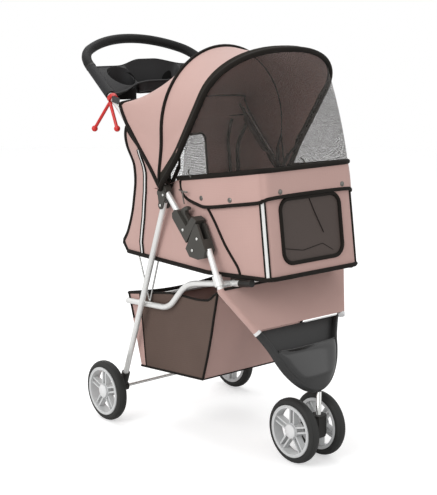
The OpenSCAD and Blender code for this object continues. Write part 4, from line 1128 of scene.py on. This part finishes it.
def gripLine():
    arm, radius, bowR = frameLines["arm"], frameLines["cornerR"], frameLines["bowR"]
    cornerX = frameLines["gripX"] - radius
    bowOff = math.sqrt((bowR - radius) ** 2 - cornerX ** 2)
    turn = math.degrees(math.atan2(bowOff, cornerX))
    half = [(frameLines["gripX"], arm - 4)]
    half += [(cornerX + radius * c, arm + radius * d) for c, d in map(direction, evenly(0, turn, 14))]
    half += [(bowR * c, arm - bowOff + bowR * d) for c, d in map(direction, evenly(turn, 90, 14)[1:])]
    stops = [(-x, s) for x, s in half] + half[-2::-1]
    return [(x, *onGrip(s)) for x, s in stops]

finished(piping("gripFoam", gripLine(), grip["foam"], sides=6), gripFoam, "foam", "handle_frame",
         ("handle_grip", "handle_bar"))
for sideName, side in reversed(sideNames):
    line = [(side * frameLines["gripX"], *onGrip(s)) for s in (grip["endFrom"], grip["endTo"])]
    finished(piping("gripEnd" + sideName, line, grip["end"], sides=6), blackPlastic, "foam", "handle_frame")

# Rivets: place in the side view, standing off in x, radius, body
rivetSpots = [((204, 523), 197, 3.4, "handle_frame"), ((154, 510), 197, 3.4, "front_frame"),
              ((169, 482), 198.2, 3.4, "front_frame"), ((281, 592), 193.5, 3.0, "handle_frame"),
              ((290, 567), 194.6, 3.0, "handle_frame")]
for sideName, side in sideNames:
    for number, ((y, z), x, radius, body) in enumerate(rivetSpots):
        piece = rivet("rivet%d%s" % (number, sideName), (side * x, y, z), (side, 0, 0), radius)
        finished(piece, rivetMetal, "steel", body)
print("handle and rivets done")

# Net over the front opening, from the front bow to the cabin's top edge
netShape = {"rear": (163, 250, 626), "corner": (163, 158, 645.5), "front": (132, 15, 668), "swell": 6}

def netLow(s):
    u, side = fromMiddle(s)
    if u > 0.5:
        x, y, z = along(netShape["corner"], netShape["rear"], (u - 0.5) / 0.17)
    elif u > 0.28:
        x, y, z = along(netShape["front"], netShape["corner"], (u - 0.28) / 0.22)
    else:
        x, y, z = netShape["front"]
        x = x * u / 0.28
    return side * x, y, z

def domeLay(u, v):
    s = between(0.1667, 0.8333, u)
    x, y, z = along(bowStop(s, "front", -3), netLow(s), v)
    swell = netShape["swell"] * hump(v) * hump(u)
    return at(x, y - swell, z + swell * 0.6)

dome = clothPiece("frontNet", 84, 26, domeLay, (0.95, 0.42), 0.7, angle=60)

# Canopy tabs, and the wire clips and hooks of the corners, for the left side
tabStops = [(189, 480, 797), (190, 470, 796), (192, 458, 795), (193, 445, 793)]
wireLines = (("netClip", [(170, 214, 655), (176, 208, 648), (174, 202, 640), (168, 206, 634)], 1.6),
             ("cornerHook", [(184, 232, 609), (185, 219, 607), (180, 207, 606)], 1.8),
             ("cornerHook", [(182, 222, 608), (182, 221, 594), (180, 219, 578)], 1.5))
tabs, wires = [], []
for side in bothSides:
    reach, out = mirrored(side, tabStops), Vector((side, 0, 0))
    run = (Vector(reach[-1]) - Vector(reach[0])).normalized()
    tabs.append(band("canopyTab", reach, [run.cross(out)] * 4, [out] * 4, 15, 1.6))
    wires += [piping(name, rounded(mirrored(side, stops), 6), radius) for name, stops, radius in wireLines]
floorBoard = moulded("cabin_floor", "cabinFloorBoard", 1.6)
print("net and clips placed")

# Fold settings for the cabin and the basket; a piece given them gets a mesh of its own
cabinFold = {"joint": "frame_fold", "axis": (0, 0, 1), "anchor": (0, 0, 0.430), "keep": 0.45}
basketFold = {"joint": "frame_fold", "axis": (0, 0, 1), "anchor": (0, 0, 0.388), "keep": 0.15}

def dressCabin(pieces, material, slotName, stands=()):
    dress(pieces, material, slotName, "seat_frame", stands, cabinFold)

def dressBasket(pieces, material, slotName, stands=()):
    dress(pieces, material, slotName, "seat_frame", stands, basketFold)

dressCabin([cabinWalls], linedCloth, "fabric_pink", ("cabin_shell",))
dressCabin([windowPanel], windowNet, "mesh_dark", ("window_mesh",))
dressCabin([rearPanel], domeNet, "mesh_light")
dressCabin([flap, gusset], linedCloth, "fabric_pink")
dressCabin([windowPiping, rearWindowPiping, bottomPiping, rearTop, flapPiping, *windowSeams, *tubeSeams,
            *rearSides, *diagonals, *stripeEdges], blackTape, "piping")
dressCabin([topPiping], blackTape, "bow_black", ("cabin_rim",))
dressCabin(zipLines, innerTape, "piping")
dressCabin(stripes, whiteTape, "reflective")
dressCabin(snaps, snapMetal, "snap_metal")
dressCabin(wires, snapMetal, "steel")
dress([mat], matCloth, "fabric_dark", "seat_frame", ("floor_mat",))
dress([floorBoard], matCloth, "fabric_dark", "seat_frame", ("cabin_floor",))
dressBasket(basketWraps + [basketRear, basketFront], pinkCloth, "fabric_pink")
dressBasket(basketSides, basketCloth, "fabric_dark")
dressBasket([basketFloor], basketCloth, "fabric_dark", ("basket",))
dressBasket(basketBinding, blackTape, "piping")
dress([apron], pinkCloth, "fabric_pink", "front_frame", ("front_panel",))
dress(sleeves, pinkCloth, "fabric_pink", "front_frame")
dress([apronTop], blackTape, "piping", "front_frame")
dress([apronHem, *legFittings], capPlastic, "cap_silver", "front_frame")
dress([footShell], darkPlastic, "plastic_dark", "front_frame", ("front_foot",))
dress([pouch], glossPlastic, "plastic_gloss", "front_frame", ("foot_pouch",))
dress([pouchLip], glossPlastic, "plastic_gloss", "front_frame")

# Tie points of the canopy's cloth at the rear, the middle bow and the front bow
rearTie, middleTie, frontTie = (tuple(at(*stop)) for stop in (
    (0, *onHandle(400, 20)), bowStop(0.5, "middle"), bowStop(0.5, "front")))
finished(canopyRear, linedCloth, "fabric_pink", None, ("canopy_rear",))
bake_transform(canopyRear)
finished(canopyFront, linedCloth, "fabric_pink", None, ("canopy_front",))
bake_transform(canopyFront)
# the net stays on the front bow; its fold settings give it a mesh of its own
netFold = {"joint": "frame_fold", "axis": (0, *direction(bows["front"]["angle"] + 90)), "anchor": frontTie,
           "keep": 0.06}
dress([dome], domeNet, "mesh_light", "front_bow", ("front_mesh",), netFold)
dress([middlePiping], blackTape, "piping", "middle_bow")
dress([frontBinding], blackTape, "piping", "front_bow")
dress([innerBand], innerTape, "piping", "front_bow")
dress([rearPiping, *innerLines], blackTape, "piping", "handle_frame")
dress(innerStrips, liningCloth, "fabric_dark", "handle_frame")
dress(tabs, greyStrap, "piping", "handle_frame")
print("cover dressed")

# Each cloth piece's area, half that of its solid, and its longest side
for held, rests, pieces in (
        ("stretched", ["bow_front", "bow_middle"], [canopyFront]),
        ("stretched", ["bow_middle", "handle_tube_left", "handle_tube_right"], [canopyRear]),
        ("stretched", ["cabin_floor"], [cabinWalls]),
        ("hung", ["cabin_rim"], [flap, gusset]),
        ("stretched", ["bow_front"], [dome]),
        ("stretched", ["cabin_shell"], [windowPanel, rearPanel]),
        ("stretched", ["front_leg_left", "front_leg_right"], [apron]),
        ("hung", ["link_tube_left"], basketSides[:1]),
        ("hung", ["link_tube_right"], basketSides[1:]),
        ("hung", ["link_crossbar"], [basketRear, basketFront, *basketWraps, basketFloor])):
    for piece in pieces:
        real, long = sum(face.area for face in piece.data.polygons) / 2, max(piece.dimensions)
        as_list(rests)

# Camera, light and floor; a light has its place, size and power
look = {"azimuth": -39.5, "elevation": 11.5, "from": (-1765.9, -1825.3, 1004.9), "lens": 85.25, "sensor": 36,
        "lights": {"keyLight": ((-3.1, -0.7, 2.3), 2.2, 66), "fillLight": ((1.6, -2.6, 1.8), 2.5, 14),
                   "topLight": ((0.2, 0.9, 2.9), 2.4, 30)},
        "aim": (0, 0, 0.5), "world": 0.6, "floorGlow": 0.46}

camera = bpy.data.objects.new("camera", bpy.data.cameras.new("camera"))
bpy.context.scene.collection.objects.link(camera)
camera.location = at(*look["from"])
(ca, sa), (ce, se) = direction(look["azimuth"]), direction(look["elevation"])
camera.rotation_euler = Vector((-sa * ce, ca * ce, -se)).to_track_quat("-Z", "Y").to_euler()
camera.data.lens = look["lens"]
camera.data.sensor_width = look["sensor"]
bpy.context.scene.camera = camera

for name, (place, size, power) in look["lights"].items():
    deselect()
    bpy.ops.object.light_add(type="AREA", location=place)
    lamp = bpy.context.object
    lamp.name = name
    lamp.data.size = size
    lamp.data.energy = power
    lamp.rotation_euler = (Vector(look["aim"]) - Vector(place)).to_track_quat("-Z", "Y").to_euler()

# The world is white to the camera and in reflections, while its own light stays plain
world = bpy.data.worlds.new("paleRoom")
bpy.context.scene.world = world
world.use_nodes = True
tree = world.node_tree
plain, white, path, seen, mixer = (tree.nodes["Background"], *(tree.nodes.new("ShaderNode" + kind)
                                   for kind in ("Background", "LightPath", "Math", "MixShader")))
for background, strength in ((plain, look["world"]), (white, 1.0)):
    background.inputs["Color"].default_value = (1, 1, 1, 1)
    background.inputs["Strength"].default_value = strength
seen.operation = "MAXIMUM"
for source, target in (
        (path.outputs["Is Camera Ray"], seen.inputs[0]), (path.outputs["Is Glossy Ray"], seen.inputs[1]),
        (seen.outputs[0], mixer.inputs[0]), (plain.outputs[0], mixer.inputs[1]),
        (white.outputs[0], mixer.inputs[2]),
        (mixer.outputs[0], tree.nodes["World Output"].inputs["Surface"])):
    tree.links.new(source, target)

deselect()
bpy.ops.mesh.primitive_circle_add(vertices=64, radius=6, fill_type="NGON")
floorSheet = named("floorSheet")
floorFinish = Finish("floorPaint", 0.9, **{"Base Color": (0.8, 0.8, 0.8, 1), "Emission Color": (1, 1, 1, 1)})
glow = floorFinish.node("ShaderNodeLightPath", output="Is Camera Ray") * look["floorGlow"]
floorFinish.feed("Emission Strength", glow)
floorSheet.data.materials.append(floorFinish.material)
bpy.context.scene.view_settings.view_transform = "Standard"
